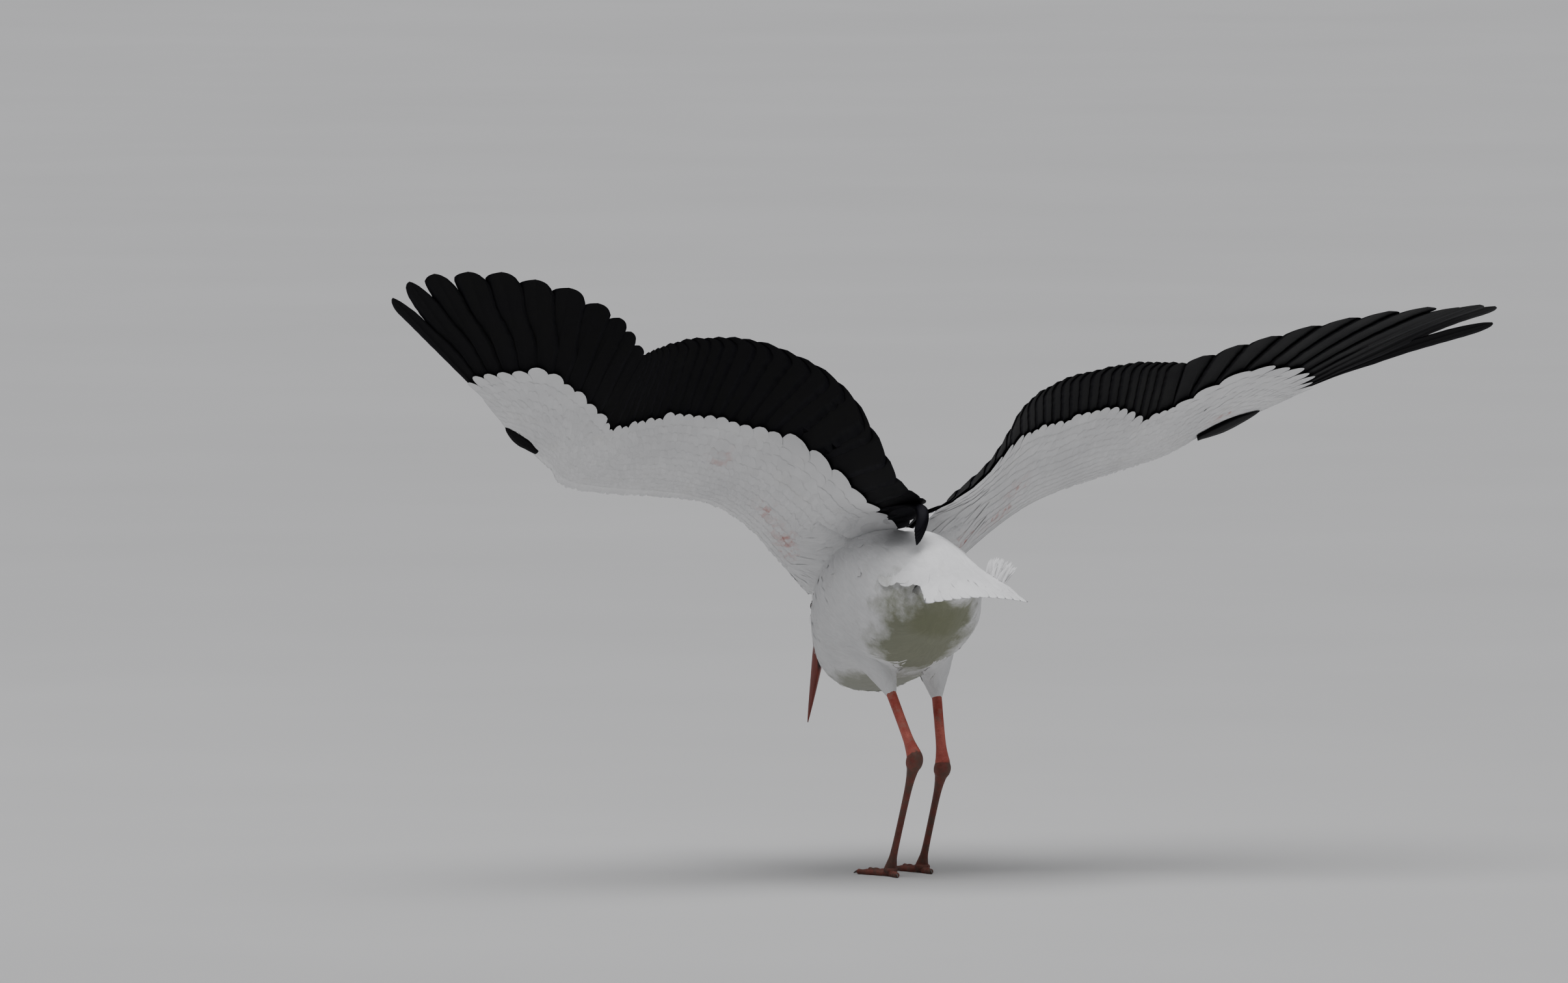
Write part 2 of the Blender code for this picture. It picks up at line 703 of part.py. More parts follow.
def make_leg(side, name, finishes, group, trunk_room):
    knee, ankle, foot = leg_points(side)
    thigh = add_object(f"leg_{name}_thigh", loft(bone_rings(knee, ankle, THIGH, 16, 9)), finishes["white"], group)
    cut(thigh, trunk_room)
    shank = add_object(f"leg_{name}_shank", loft(bone_rings(knee, ankle, SHANK, 10, 7)), finishes["red"], group)
    tarsus_rings = bone_rings(ankle, foot, TARSUS, 10, 12)
    tarsus = add_object(f"leg_{name}_tarsus", loft(tarsus_rings), finishes["tarsus"], group)
    cutters = bpy.data.collections["cutters"]
    tarsus_room = clearance_copy(tarsus, cutters)
    cut(shank, tarsus_room)

    ground = np.array([foot[0], foot[1], 0.0])
    pad = bmesh.new()
    bmesh.ops.create_uvsphere(pad, u_segments=12, v_segments=8, radius=1)
    for v in pad.verts:
        v.co.x *= 0.0105
        v.co.y *= 0.0115
        v.co.z = max(0.0, 0.0085 + v.co.z * 0.0095)
    body = add_object(f"leg_{name}_foot", pad, finishes["tarsus"], group)
    body.location = ground
    for toe, (outwards, length) in TOES.items():
        rings = np.array(toe_rings(np.zeros(3), math.radians(outwards * side), length))
        piece = add_object(f"{name}_{toe}_toe", loft(rings), finishes["tarsus"], cutters)
        piece.location = ground
        piece.hide_render = True
        piece.display_type = "WIRE"
        join = body.modifiers.new(toe, "BOOLEAN")
        join.operation = "UNION"
        join.object = piece
        join.solver = "EXACT"
    cut(body, tarsus_room)


# ---------------------------------------------------------------- the whole bird


def finish_part(group):
    """Moves the bird so that its box stands on the origin."""
    bpy.context.view_layer.update()
    graph = bpy.context.evaluated_depsgraph_get()
    corners = []
    for piece in group.objects:
        shown = piece.evaluated_get(graph)
        corners += [shown.matrix_world @ v.co for v in shown.data.vertices]
    corners = np.array(corners)
    low, high = corners.min(axis=0), corners.max(axis=0)
    shift = np.array([(low[0] + high[0]) / 2, (low[1] + high[1]) / 2, low[2]])
    stork = bpy.data.objects.new("stork", None)
    group.objects.link(stork)
    for each in bpy.data.objects:
        if each is not stork:
            each.parent = stork
    stork.location = -shift


def main():
    for old in list(bpy.data.objects):
        bpy.data.objects.remove(old)
    group = collection("white_stork")
    cutters = collection("cutters")
    finishes = {
        "white": material("white_feather", WHITE, 0.85),
        "black": material("black_feather", BLACK, 0.45),
        "bill": material("bill_red", BILL_RED, 0.40),
        "red": material("leg_red", LEG_RED, 0.55),
        "tarsus": material("leg_muddy", TARSUS_BROWN, 0.70),
        "eye": material("eye", EYE_BROWN, 0.08),
    }
    trunk_room = make_body(finishes, group, cutters)
    make_tail(finishes, group, trunk_room)
    for side, name in ((1, "left"), (-1, "right")):
        make_wing(side, name, finishes, group, trunk_room)
        make_leg(side, name, finishes, group, trunk_room)
    finish_part(group)


main()
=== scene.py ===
"""White stork, life size, bowing with both wings raised: skin, feathers, bill, eyes, legs, light and camera.

Metres, +Z up. Shapes are laid out in the bird's own terms (left, ahead, up) from the floor point between its
feet, with the sizes of the solids, and are set in place from the solids' eyes. Each feather is a thin closed vane.
"""

import math

import bpy
import numpy as np
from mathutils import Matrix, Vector
from mathutils.bvhtree import BVHTree
from mathutils.kdtree import KDTree


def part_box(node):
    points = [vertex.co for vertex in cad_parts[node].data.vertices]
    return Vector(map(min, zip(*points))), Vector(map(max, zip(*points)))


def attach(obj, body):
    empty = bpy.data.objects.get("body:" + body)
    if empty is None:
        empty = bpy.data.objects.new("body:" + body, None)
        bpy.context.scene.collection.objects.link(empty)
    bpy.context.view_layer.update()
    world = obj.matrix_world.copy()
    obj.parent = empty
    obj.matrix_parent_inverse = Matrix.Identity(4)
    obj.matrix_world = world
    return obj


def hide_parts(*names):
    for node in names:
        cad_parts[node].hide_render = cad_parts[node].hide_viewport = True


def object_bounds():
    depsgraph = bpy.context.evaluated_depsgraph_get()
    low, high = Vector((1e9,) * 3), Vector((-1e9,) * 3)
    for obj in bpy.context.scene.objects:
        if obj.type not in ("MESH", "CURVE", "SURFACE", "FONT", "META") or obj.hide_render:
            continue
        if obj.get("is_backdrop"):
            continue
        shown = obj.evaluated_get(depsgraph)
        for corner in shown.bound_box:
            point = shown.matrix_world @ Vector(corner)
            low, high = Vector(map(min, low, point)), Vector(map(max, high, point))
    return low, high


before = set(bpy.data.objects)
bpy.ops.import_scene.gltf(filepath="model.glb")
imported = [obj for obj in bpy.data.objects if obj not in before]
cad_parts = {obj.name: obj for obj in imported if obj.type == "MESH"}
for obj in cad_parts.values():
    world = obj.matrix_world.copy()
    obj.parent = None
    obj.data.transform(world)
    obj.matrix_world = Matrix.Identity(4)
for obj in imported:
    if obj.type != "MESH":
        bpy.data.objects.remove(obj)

CAD_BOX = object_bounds()
RNG = np.random.default_rng(20)
SHARE = 1.0

# ---------------------------------------------------------------- sizes, in metres, and angles, in degrees

# Trunk, rump to breast: (ahead, top, bottom, half width)
TRUNK = (
    (-0.206, 0.492, 0.466, 0.020),
    (-0.193, 0.502, 0.430, 0.042),
    (-0.162, 0.513, 0.388, 0.066),
    (-0.112, 0.526, 0.346, 0.088),
    (-0.052, 0.534, 0.319, 0.100),
    (0.010, 0.538, 0.300, 0.106),
    (0.070, 0.534, 0.283, 0.109),
    (0.120, 0.525, 0.271, 0.107),
    (0.158, 0.511, 0.271, 0.096),
    (0.188, 0.492, 0.291, 0.075),
    (0.208, 0.467, 0.322, 0.050),
    (0.219, 0.438, 0.356, 0.024),
)
TRUNK_SIDE_HEIGHT = 0.46
TRUNK_SQUARENESS = 2.25
# Neck, breast to skull: (ahead, up, radius)
NECK = (
    (0.140, 0.432, 0.066),
    (0.196, 0.456, 0.053),
    (0.243, 0.496, 0.042),
    (0.286, 0.522, 0.0345),
    (0.323, 0.514, 0.0300),
    (0.341, 0.480, 0.0275),
    (0.334, 0.443, 0.0265),
    (0.323, 0.412, 0.0255),
)
BILL_BASE = (0.330, 0.365)
BILL_LEAN = 21.0
BILL_LENGTH = 0.172
BILL_HALF_WIDTH = 0.0125
BILL_UPPER_HEIGHT = 0.0165
BILL_LOWER_DEPTH = 0.0130
HEAD_LENGTH = 0.072
# Head, back of the skull to the face: (along, height to the crown, depth to the chin, half width)
HEAD = (
    (0.000, 0.009, 0.009, 0.009),
    (0.006, 0.0185, 0.0175, 0.0170),
    (0.018, 0.0255, 0.0235, 0.0225),
    (0.032, 0.0270, 0.0250, 0.0235),
    (0.046, 0.0245, 0.0235, 0.0215),
    (0.060, 0.0190, 0.0200, 0.0175),
    (0.072, 0.0160, 0.0160, 0.0132),
)
EYE_RADIUS = 0.0075
EYE_ALONG = 0.046
EYE_SIDE = 0.0158
EYE_RISE = 0.0045
EYE_SPAN = 1.9  # radians from the eye's axis that the ball reaches
# An eyelid's section: (angle beyond the opening's edge, height over the eyeball)
LID = (
    (0.0, -0.0002),
    (0.0, 0.0005),
    (0.06, 0.00085),
    (0.16, 0.00070),
    (0.24, 0.00085),
    (0.40, 0.0006),
    (0.60, -0.0006),
    (0.60, -0.0015),
    (0.1, -0.0006),
)

TAIL_FEATHERS = 12
TAIL_ROOT = (-0.176, 0.497)
TAIL_LENGTH = 0.168
TAIL_SLOPE = 17.0
TAIL_HALF_SPREAD = 21.0
TAIL_HALF_ROOT = 0.024
TAIL_TURN = 4.0
TAIL_ARCH = 0.012

# Back, over the tail's base to the back: (ahead, half width, height of the ridge, drop to the sides)
RUMP = (
    (-0.310, 0.080, 0.4585, 0.0140),
    (-0.270, 0.067, 0.4708, 0.0105),
    (-0.235, 0.060, 0.4830, 0.0160),
    (-0.205, 0.058, 0.4945, 0.0260),
    (-0.180, 0.060, 0.5045, 0.0370),
    (-0.130, 0.068, 0.5195, 0.0500),
    (-0.080, 0.076, 0.5290, 0.0500),
    (-0.020, 0.082, 0.5350, 0.0440),
)
# Belly, below the tail's base: half width, height of the keel, and rise to the sides, each by place ahead
VENT = (
    ((-0.290, 0.058), (-0.240, 0.051), (-0.200, 0.050), (-0.150, 0.058), (-0.100, 0.075)),
    (
        (-0.290, 0.449), (-0.240, 0.452), (-0.205, 0.436), (-0.180, 0.407), (-0.150, 0.3795), (-0.125, 0.3630),
        (-0.100, 0.350),
    ),
    ((-0.290, 0.005), (-0.240, 0.014), (-0.205, 0.038), (-0.180, 0.057), (-0.150, 0.061), (-0.100, 0.060)),
)

# Legs: 1 is the left leg and -1 the right
KNEE_OUT = 0.052
KNEE_UP = 0.392
KNEE_AHEAD = {1: 0.036, -1: 0.022}
ANKLE_OUT = {1: 0.031, -1: 0.036}
ANKLE_AHEAD = {1: -0.120, -1: -0.069}
ANKLE_UP = {1: 0.190, -1: 0.172}
FOOT_OUT = {1: 0.031, -1: 0.038}
FOOT_AHEAD = {1: -0.021, -1: 0.020}
TOE_ROOT_UP = 0.012
# (share of knee to ankle, radius fore and aft, radius sideways)
THIGH = (
    (-0.10, 0.050, 0.034),
    (0.06, 0.052, 0.038),
    (0.22, 0.043, 0.033),
    (0.36, 0.029, 0.023),
    (0.47, 0.0175, 0.0145),
    (0.550, 0.0115, 0.0095),
)
SHANK = (
    (0.500, 0.0090, 0.0076),
    (0.60, 0.0088, 0.0074),
    (0.72, 0.0086, 0.0073),
    (0.86, 0.0090, 0.0078),
    (0.935, 0.0116, 0.0096),
    (0.975, 0.0132, 0.0112),
    (1.005, 0.0120, 0.0104),
    (1.025, 0.0060, 0.0055),
)
# (share of ankle to foot, radius fore and aft, radius sideways)
TARSUS = (
    (-0.062, 0.0045, 0.0040),
    (-0.045, 0.0105, 0.0088),
    (0.00, 0.0148, 0.0125),
    (0.055, 0.0138, 0.0126),
    (0.12, 0.0100, 0.0085),
    (0.28, 0.0072, 0.0056),
    (0.60, 0.0065, 0.0050),
    (0.86, 0.0068, 0.0056),
    (0.95, 0.0086, 0.0080),
    (1.00, 0.0092, 0.0098),
    (1.03, 0.0055, 0.0060),
)
TOES = {"inner": (-26.0, 0.066), "middle": (2.0, 0.088), "outer": (30.0, 0.072), "hind": (176.0, 0.036)}
TOE_RADIUS = 0.0056

# Wing laid out flat, x outwards from the shoulder and y backwards: (length, angle back) of the three bones, and each
# wing's pose. The angles are those of the upper arm, the forearm and the hand. tertial_rise lifts the innermost
# feathers at their middle and tip, closed is how far the primaries overlap, outer_slot is how deep the outermost
# slot between them is, outer_twist and tip_sag turn and lower the wing's tip. alula is its start and end along x,
# its reach behind the leading edge, its depth below the wing and its bulge. white is how far the white coverts
# reach along each feather ray underneath, and stains are reddish smudges at (ray, share of chord).
BONES = ((0.205, 15.0), (0.240, -10.0), (0.165, 12.0))
WINGS = {
    1: {
        "shoulder": (0.088, 0.135, 0.466),
        "elevation": (43.0, 3.5, 28.5),
        "sweep": (8.0, 3.5, -23.5),
        "pronation": (24.0, 45.0, 39.0),
        "tertial_rise": (0.056, 0.050),
        "outer_slot": 0.066,
        "closed": 1.12,
        "outer_twist": 0.0,
        "alula": (0.536, 0.622, 0.0125, 0.0072, 0.50),
        "tip_sag": 0.0,
        "white": (
            (0, 0.165), (1, 0.190), (3, 0.212), (4.5, 0.190), (6, 0.148), (8, 0.132), (12, 0.132), (15, 0.139),
            (18, 0.130), (21, 0.119), (22.6, 0.108), (23.4, 0.122), (25, 0.148), (26, 0.175), (28, 0.196),
            (29, 0.210), (31, 0.204), (33, 0.184), (34, 0.166), (35, 0.148),
        ),
        "stains": ((3.6, 0.42), (2.0, 0.35), (1.3, 0.28), (9.0, 0.62)),
    },
    -1: {
        "shoulder": (0.084, 0.108, 0.458),
        "elevation": (36.0, 16.5, 19.0),
        "sweep": (8.0, -9.0, -22.5),
        "pronation": (32.0, 33.0, 25.5),
        "tertial_rise": (0.050, 0.014),
        "outer_slot": 0.200,
        "closed": 1.75,
        "outer_twist": 0.38,
        "alula": (0.486, 0.594, 0.020, 0.0105, 1.0),
        "tip_sag": 0.022,
        "white": (
            (0, 0.200), (2, 0.250), (3, 0.265), (4, 0.252), (6, 0.212), (8, 0.200), (10, 0.178), (13, 0.182),
            (15, 0.184), (17, 0.170), (19, 0.148), (20.6, 0.118), (22, 0.134), (24, 0.149), (25, 0.168),
            (27, 0.222), (28, 0.221), (30, 0.191), (32, 0.148), (34, 0.096), (35, 0.085),
        ),
        "stains": ((2.0, 0.45), (5.5, 0.60), (4.2, 0.40), (28.0, 0.55)),
    },
}
TERTIALS, SECONDARIES, PRIMARIES = 6, 18, 11
FIRST_PRIMARY = TERTIALS + SECONDARIES
LAST_FEATHER = FIRST_PRIMARY + PRIMARIES
COVERT_REACH = ((0, 0.120), (6, 0.134), (20, 0.137), (24, 0.131), (30, 0.118), (35, 0.092))
SECONDARY_LENGTH = ((0, 0.280), (2, 0.306), (4, 0.315), (6, 0.316), (18, 0.301), (24, 0.280))
PRIMARY_LENGTH = ((0.0, 0.296), (0.2, 0.340), (0.4, 0.391), (0.6, 0.428), (0.8, 0.440), (0.9, 0.430), (1.0, 0.398))
SLOT_DEPTH = ((24, 0.012), (27, 0.014), (28, 0.022), (29, 0.036), (30, 0.060), (31, 0.070), (33, 0.080))
ARM_THICKNESS = ((0, 0.046), (6, 0.034), (14, 0.024), (24, 0.019), (35, 0.009))
LEADING_EDGE = (
    (-0.04, -0.068), (0.06, -0.052), (0.13, -0.034), (0.20, -0.018), (0.30, -0.011), (0.44, -0.007),
    (0.462, -0.002), (0.49, 0.018), (0.56, 0.034), (0.60, 0.036),
)
ALULA_BULGE = 0.0165
SMALL_COVERT_RAYS = np.array([-1.4, 34.9])  # the rays between which the small coverts grow
# How far back the white of the upper side reaches, as a share of the chord, by ray
WHITE_ABOVE = ((-2, 0.50), (1, 0.62), (6, 0.72), (20, 0.74), (23, 0.62), (25, 0.34), (35, 0.22))
FIVE_COLUMNS = np.array([-1.0, -0.5, 0.0, 0.5, 1.0])  # places across a feather, from edge to edge
# Grey-green patches on the belly under the tail and at the breast's bottom, mostly painted shade with a painted
# greenish reflected light and some dirt: (middle in the bird's terms, half sizes, most cover)
BELLY_SHADE_AND_SOIL = (
    ((0.018, -0.118, 0.362), (0.090, 0.134, 0.138), 0.92),
    ((0.008, -0.165, 0.424), (0.078, 0.064, 0.058), 0.92),
    ((0.0, 0.060, 0.275), (0.120, 0.170, 0.050), 0.75),
)
# The patches' colour: painted shade tinted green by painted reflected light, with some dirt
SHADE_AND_SOIL_TINT = (0.21, 0.22, 0.135)
TUFT_PATCH = 0.003  # how large a tuft's patch is on the bake map

VIEW_TURN = 22.0  # degrees that the camera stands round from straight behind, towards the bird's left
VIEW_RISE = 4.0
VIEW_DISTANCE = 33.5
VIEW_WIDTH = 2.411  # width of the view at the bird
VIEW_MIDDLE = (0.1845, 0.589)  # from the floor point between the feet, leftwards and upwards in the view


# ---------------------------------------------------------------- helpers


def keyed(keys, at):
    places, values = zip(*keys)
    return np.interp(at, places, values)


def smoothstep(x, start, end):
    t = np.clip((np.asarray(x, float) - start) / (end - start), 0.0, 1.0)
    return t * t * (3 - 2 * t)


def unit(v):
    return v / np.maximum(np.linalg.norm(v, axis=-1, keepdims=True), 1e-12)


def circle(count):
    return np.linspace(0, 2 * math.pi, count, endpoint=False)


def tip_crowded(rows, power):
    """Shares from 0 to 1 in one row, closer together towards 1."""
    return 1 - (1 - np.linspace(0, 1, rows)[None]) ** power


def columns_at(rows, at):
    """The other columns of a table, read at places in its first column."""
    rows = np.asarray(rows)
    return (np.interp(at, rows[:, 0], values) for values in rows[:, 1:].T)


def ring(over, under, axis=-1):
    """A feather's section: across its upper side and back across the lower one, which shares the two ends."""
    back = np.arange(over.shape[axis] - 2, 0, -1)
    return np.concatenate([over, np.take(under, back, axis)], axis)


def joined(*parts):
    """Numbers side by side along a new last axis."""
    return np.stack(np.broadcast_arrays(*parts), axis=-1)


def turn(left, ahead, up):
    """A direction given in the bird's terms, as (x, y, z)."""
    return joined(np.asarray(left, float), -np.asarray(ahead, float), np.asarray(up, float))


def smooth_rows(rows, count):
    """Rows of numbers, joined by Catmull-Rom curves and read at evenly spaced places along them."""
    rows = np.asarray(rows, float)
    padded = np.vstack([2 * rows[0] - rows[1], rows, 2 * rows[-1] - rows[-2]])
    spot = np.linspace(0, len(rows) - 1, count)
    i = np.minimum(spot.astype(int), len(rows) - 2)
    t = (spot - i)[:, None]
    before, start, end, after = (padded[i + k] for k in range(4))
    return 0.5 * (
        2 * start
        + (end - before) * t
        + (2 * before - 5 * start + 4 * end - after) * t**2
        + (3 * start - before - 3 * end + after) * t**3
    )


LEAN = math.radians(BILL_LEAN)
FORWARD = turn(0, math.sin(LEAN), -math.cos(LEAN))
CROWN = turn(0, math.cos(LEAN), math.sin(LEAN))
LEFT, UP = turn(1, 0, 0), turn(0, 0, 1)

# The floor point between the feet, found from the eyes, which lie a known way along the head
FEET = np.mean([corner for name in ("eye_left", "eye_right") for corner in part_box(name)], axis=0)
FEET = FEET - (turn(0, *BILL_BASE) + FORWARD * (EYE_ALONG - HEAD_LENGTH) + CROWN * EYE_RISE)
FEET[2] = 0.0


def point(left, ahead, up):
    """A point given in the bird's terms, as (x, y, z)."""
    return turn(left, ahead, up) + FEET


def head_point(along, rise, left):
    along, rise, left = (np.asarray(v, float)[..., None] for v in (along, rise, left))
    return point(0, *BILL_BASE) + FORWARD * (along - HEAD_LENGTH) + CROWN * rise + left * LEFT


def add_object(name, data):
    made = bpy.data.objects.new(name, data)
    bpy.context.scene.collection.objects.link(made)
    return made


def vertex_places(mesh):
    places = np.empty(len(mesh.vertices) * 3, np.float32)
    mesh.vertices.foreach_get("co", places)
    return places.reshape(-1, 3)


# ---------------------------------------------------------------- materials


class Finish:
    """A procedural material, built up node by node."""

    def __init__(self, name, roughness, **constants):
        self.material = bpy.data.materials.new(name)
        self.material.use_nodes = True
        self.tree = self.material.node_tree
        self.shader = self.tree.nodes["Principled BSDF"]
        for socket, value in {"Roughness": roughness, **constants}.items():
            self.shader.inputs[socket.replace("_", " ")].default_value = value

    def node(self, kind, inputs=(), **settings):
        made = self.tree.nodes.new(kind)
        for key, value in settings.items():
            setattr(made, key, value)
        for socket, value in dict(inputs).items():
            if isinstance(value, bpy.types.NodeSocket):
                self.tree.links.new(value, made.inputs[socket])
            else:
                made.inputs[socket].default_value = value
        return made

    def place(self):
        return self.node("ShaderNodeTexCoord").outputs["Object"]

    def attribute(self, name):
        return self.node("ShaderNodeAttribute", attribute_name=name).outputs["Fac"]

    def vane(self):
        return self.node("ShaderNodeUVMap", uv_map="Vane").outputs["UV"]

    def math(self, operation, a, b=0.0, c=0.0):
        return self.node("ShaderNodeMath", {0: a, 1: b, 2: c}, operation=operation).outputs[0]

    def vector(self, operation, a, b=(0, 0, 0)):
        return self.node("ShaderNodeVectorMath", {0: a, 1: b}, operation=operation).outputs

    def stretched(self, vector, scale):
        return self.node("ShaderNodeMapping", {"Vector": vector, "Scale": scale}).outputs["Vector"]

    def noise(self, scale, detail, roughness=0.55, vector=None):
        """Cloudy noise, over the object unless a vector is given."""
        sockets = {"Vector": vector or self.place(), "Scale": scale, "Detail": detail, "Roughness": roughness}
        return self.node("ShaderNodeTexNoise", sockets).outputs["Fac"]

    def seams(self, vector, scale):
        """How far a place is from the seams between cells."""
        sockets = {"Vector": vector, "Scale": scale}
        return self.node("ShaderNodeTexVoronoi", sockets, feature="DISTANCE_TO_EDGE").outputs["Distance"]

    def ramp(self, factor, *stops):
        made = self.node("ShaderNodeValToRGB", {"Fac": factor})
        for element, (place, colour) in zip(made.color_ramp.elements, stops):
            element.position = place
            element.color = (*colour, 1)
        return made.outputs["Color"]

    def mask(self, factor, start, end, first=0.0, last=1.0):
        return self.ramp(factor, (start, (first,) * 3), (end, (last,) * 3))

    def mix(self, factor, a, b, blend="MIX"):
        a, b = (v if isinstance(v, bpy.types.NodeSocket) else (*v, 1) for v in (a, b))
        return self.node("ShaderNodeMix", {0: factor, 6: a, 7: b}, data_type="RGBA", blend_type=blend).outputs[2]

    def barbs(self, spacing):
        """Fine lines that run from a vane's shaft slantwise to its edges."""
        across, along, _ = self.node("ShaderNodeSeparateXYZ", {0: self.vane()}).outputs
        slant = self.math("MULTIPLY_ADD", self.math("ABSOLUTE", across), -1.1, along)
        wobble = self.math("MULTIPLY", self.noise(130.0, 2.0, vector=self.vane()), 0.0016)
        line = self.math("MULTIPLY", self.math("ADD", slant, wobble), 2 * math.pi / spacing)
        return self.math("MULTIPLY_ADD", self.math("SINE", line), 0.5, 0.5)

    def made(self, colour, rough=None, bump=None):
        """The material, with its colour, varying roughness, and bump as (height, strength, distance)."""
        self.tree.links.new(colour, self.shader.inputs["Base Color"])
        if rough:
            self.tree.links.new(rough, self.shader.inputs["Roughness"])
        if bump:
            made = self.node("ShaderNodeBump", dict(zip(("Height", "Strength", "Distance"), bump)))
            self.tree.links.new(made.outputs["Normal"], self.shader.inputs["Normal"])
        return self.material


def white_feather(name, barb, darkened=False):
    finish = Finish(name, 0.80, Sheen_Weight=0.10, Sheen_Roughness=0.5, Specular_IOR_Level=0.22)
    base = finish.ramp(finish.noise(9.0, 4.0), (0.30, (0.77, 0.77, 0.775)), (0.62, (0.88, 0.88, 0.88)))
    dust = finish.mask(finish.noise(30.0, 5.0), 0.56, 0.82)
    base = finish.mix(finish.math("MULTIPLY", dust, 0.16), base, (0.62, 0.58, 0.50))
    # Grey-green patches on the belly and the breast's bottom: mostly painted shade with painted green reflected
    # light, and some dirt
    if darkened:
        ragged = finish.math("MULTIPLY_ADD", finish.noise(24.0, 6.0, 0.65), 1.1, -0.55)
        for middle, size, most in BELLY_SHADE_AND_SOIL:
            apart = finish.vector("SUBTRACT", finish.place(), tuple(point(*middle)))[0]
            apart = finish.vector("MULTIPLY", apart, tuple(1 / v for v in size))[0]
            far = finish.vector("LENGTH", apart)["Value"]
            base = finish.mix(finish.mask(finish.math("ADD", far, ragged), 0.55, 1.0, most, 0.0), base, SHADE_AND_SOIL_TINT)
    tone = finish.math("MULTIPLY_ADD", finish.attribute("tone"), 0.035, 0.965)
    grey = finish.node("ShaderNodeCombineColor", {0: tone, 1: tone, 2: tone}).outputs[0]
    base = finish.mix(1.0, base, grey, "MULTIPLY")
    blotch = finish.mask(finish.noise(70.0, 5.0), 0.42, 0.62)
    base = finish.mix(finish.math("MULTIPLY", finish.attribute("stain_and_shade"), blotch), base, (0.55, 0.14, 0.10))
    lines = finish.barbs(barb)
    base = finish.mix(finish.math("MULTIPLY", lines, 0.06), base, (0.66, 0.66, 0.67))
    return finish.made(base, bump=(lines, 0.20, 0.0002))


def black_feather(name):
    finish = Finish(name, 0.55, Specular_IOR_Level=0.11)
    patchy = finish.noise(16.0, 4.0)
    base = finish.ramp(patchy, (0.35, (0.0018, 0.0018, 0.0022)), (0.70, (0.0042, 0.0038, 0.0054)))
    lines = finish.barbs(0.0016)
    base = finish.mix(finish.math("MULTIPLY", lines, 0.35), base, (0.0018, 0.0018, 0.0022))
    # A bluish grey on the upper sides: the secondaries' silvery bloom, and on the right wing's innermost feathers a
    # painted reflection of the sky
    base = finish.mix(finish.math("MULTIPLY", finish.attribute("stain_and_shade"), 0.55), base, (0.075, 0.073, 0.105))
    return finish.made(base, finish.math("MULTIPLY_ADD", patchy, 0.22, 0.46), (lines, 0.35, 0.0004))


def horn(name, dark, bright, streak):
    finish = Finish(name, 0.38, Coat_Weight=0.12, Coat_Roughness=0.3)
    streaks = finish.noise(5.0, 6.0, vector=finish.stretched(finish.vane(), (90.0, 7.0, 1.0)))
    base = finish.ramp(streaks, (0.25, dark), (0.75, bright))
    spots = finish.noise(190.0, 3.0)
    base = finish.mix(finish.mask(spots, 0.62, 0.76, 0.0, 0.30), base, streak)
    # On the lower bill this blackens the underside near the base: painted shade
    base = finish.mix(finish.attribute("stain_and_shade"), base, (0.010, 0.008, 0.008))
    return finish.made(base, finish.math("MULTIPLY_ADD", spots, 0.22, 0.30), (streaks, 0.22, 0.0003))


def scaled_skin(name, dark, bright, mud, mud_share, size):
    finish = Finish(name, 0.55, Specular_IOR_Level=0.4)
    seams = finish.seams(finish.stretched(finish.vane(), (1.0, 0.62, 1.0)), 1.0 / size)
    seams = finish.math("MINIMUM", finish.math("MULTIPLY", seams, 5.0), 1.0)
    patchy = finish.noise(38.0, 5.0)
    base = finish.ramp(patchy, (0.32, dark), (0.66, bright))
    seam = finish.math("MULTIPLY", finish.math("SUBTRACT", 1.0, seams), 0.32)
    base = finish.mix(seam, base, tuple(c * 0.45 for c in dark))
    caked = finish.noise(60.0, 7.0, 0.72)
    thin = mud_share * 0.35
    base = finish.mix(finish.mask(caked, 0.60 - thin, 0.78 - thin, 0.0, 0.85), base, mud)
    edge = finish.math("MULTIPLY_ADD", caked, 2.4, -1.2)
    low = finish.mask(finish.math("ADD", finish.attribute("stain_and_shade"), edge), 0.25, 0.75)
    base = finish.mix(low, base, (0.135, 0.048, 0.033))
    rough = finish.math("MULTIPLY_ADD", finish.math("MULTIPLY", patchy, caked), 0.5, 0.42)
    return finish.made(base, rough, (finish.math("ADD", seams, finish.math("MULTIPLY", caked, 0.8)), 0.45, 0.0005))


def bare_skin():
    finish = Finish("face_skin", 0.5, Specular_IOR_Level=0.45)
    pores = finish.noise(900.0, 4.0)
    folds = finish.seams(finish.place(), 1100.0)
    base = finish.ramp(pores, (0.35, (0.008, 0.007, 0.008)), (0.7, (0.026, 0.021, 0.022)))
    return finish.made(base, bump=(finish.math("ADD", folds, pores), 0.5, 0.0003))


def eye_finish():
    finish = Finish("eye_wet", 0.06, Coat_Weight=1.0, Coat_Roughness=0.02)
    polar = finish.attribute("tone")
    fibres = finish.noise(3.0, 4.0, vector=finish.stretched(finish.vane(), (30.0, 4.0, 1.0)))
    iris = finish.ramp(fibres, (0.3, (0.014, 0.007, 0.004)), (0.75, (0.062, 0.030, 0.014)))
    rim = finish.mask(polar, 0.40, 0.48)
    pupil = finish.mask(polar, 0.205, 0.225, 1.0, 0.0)
    return finish.made(finish.mix(pupil, finish.mix(rim, iris, (0.006, 0.005, 0.005)), (0.001, 0.001, 0.001)))


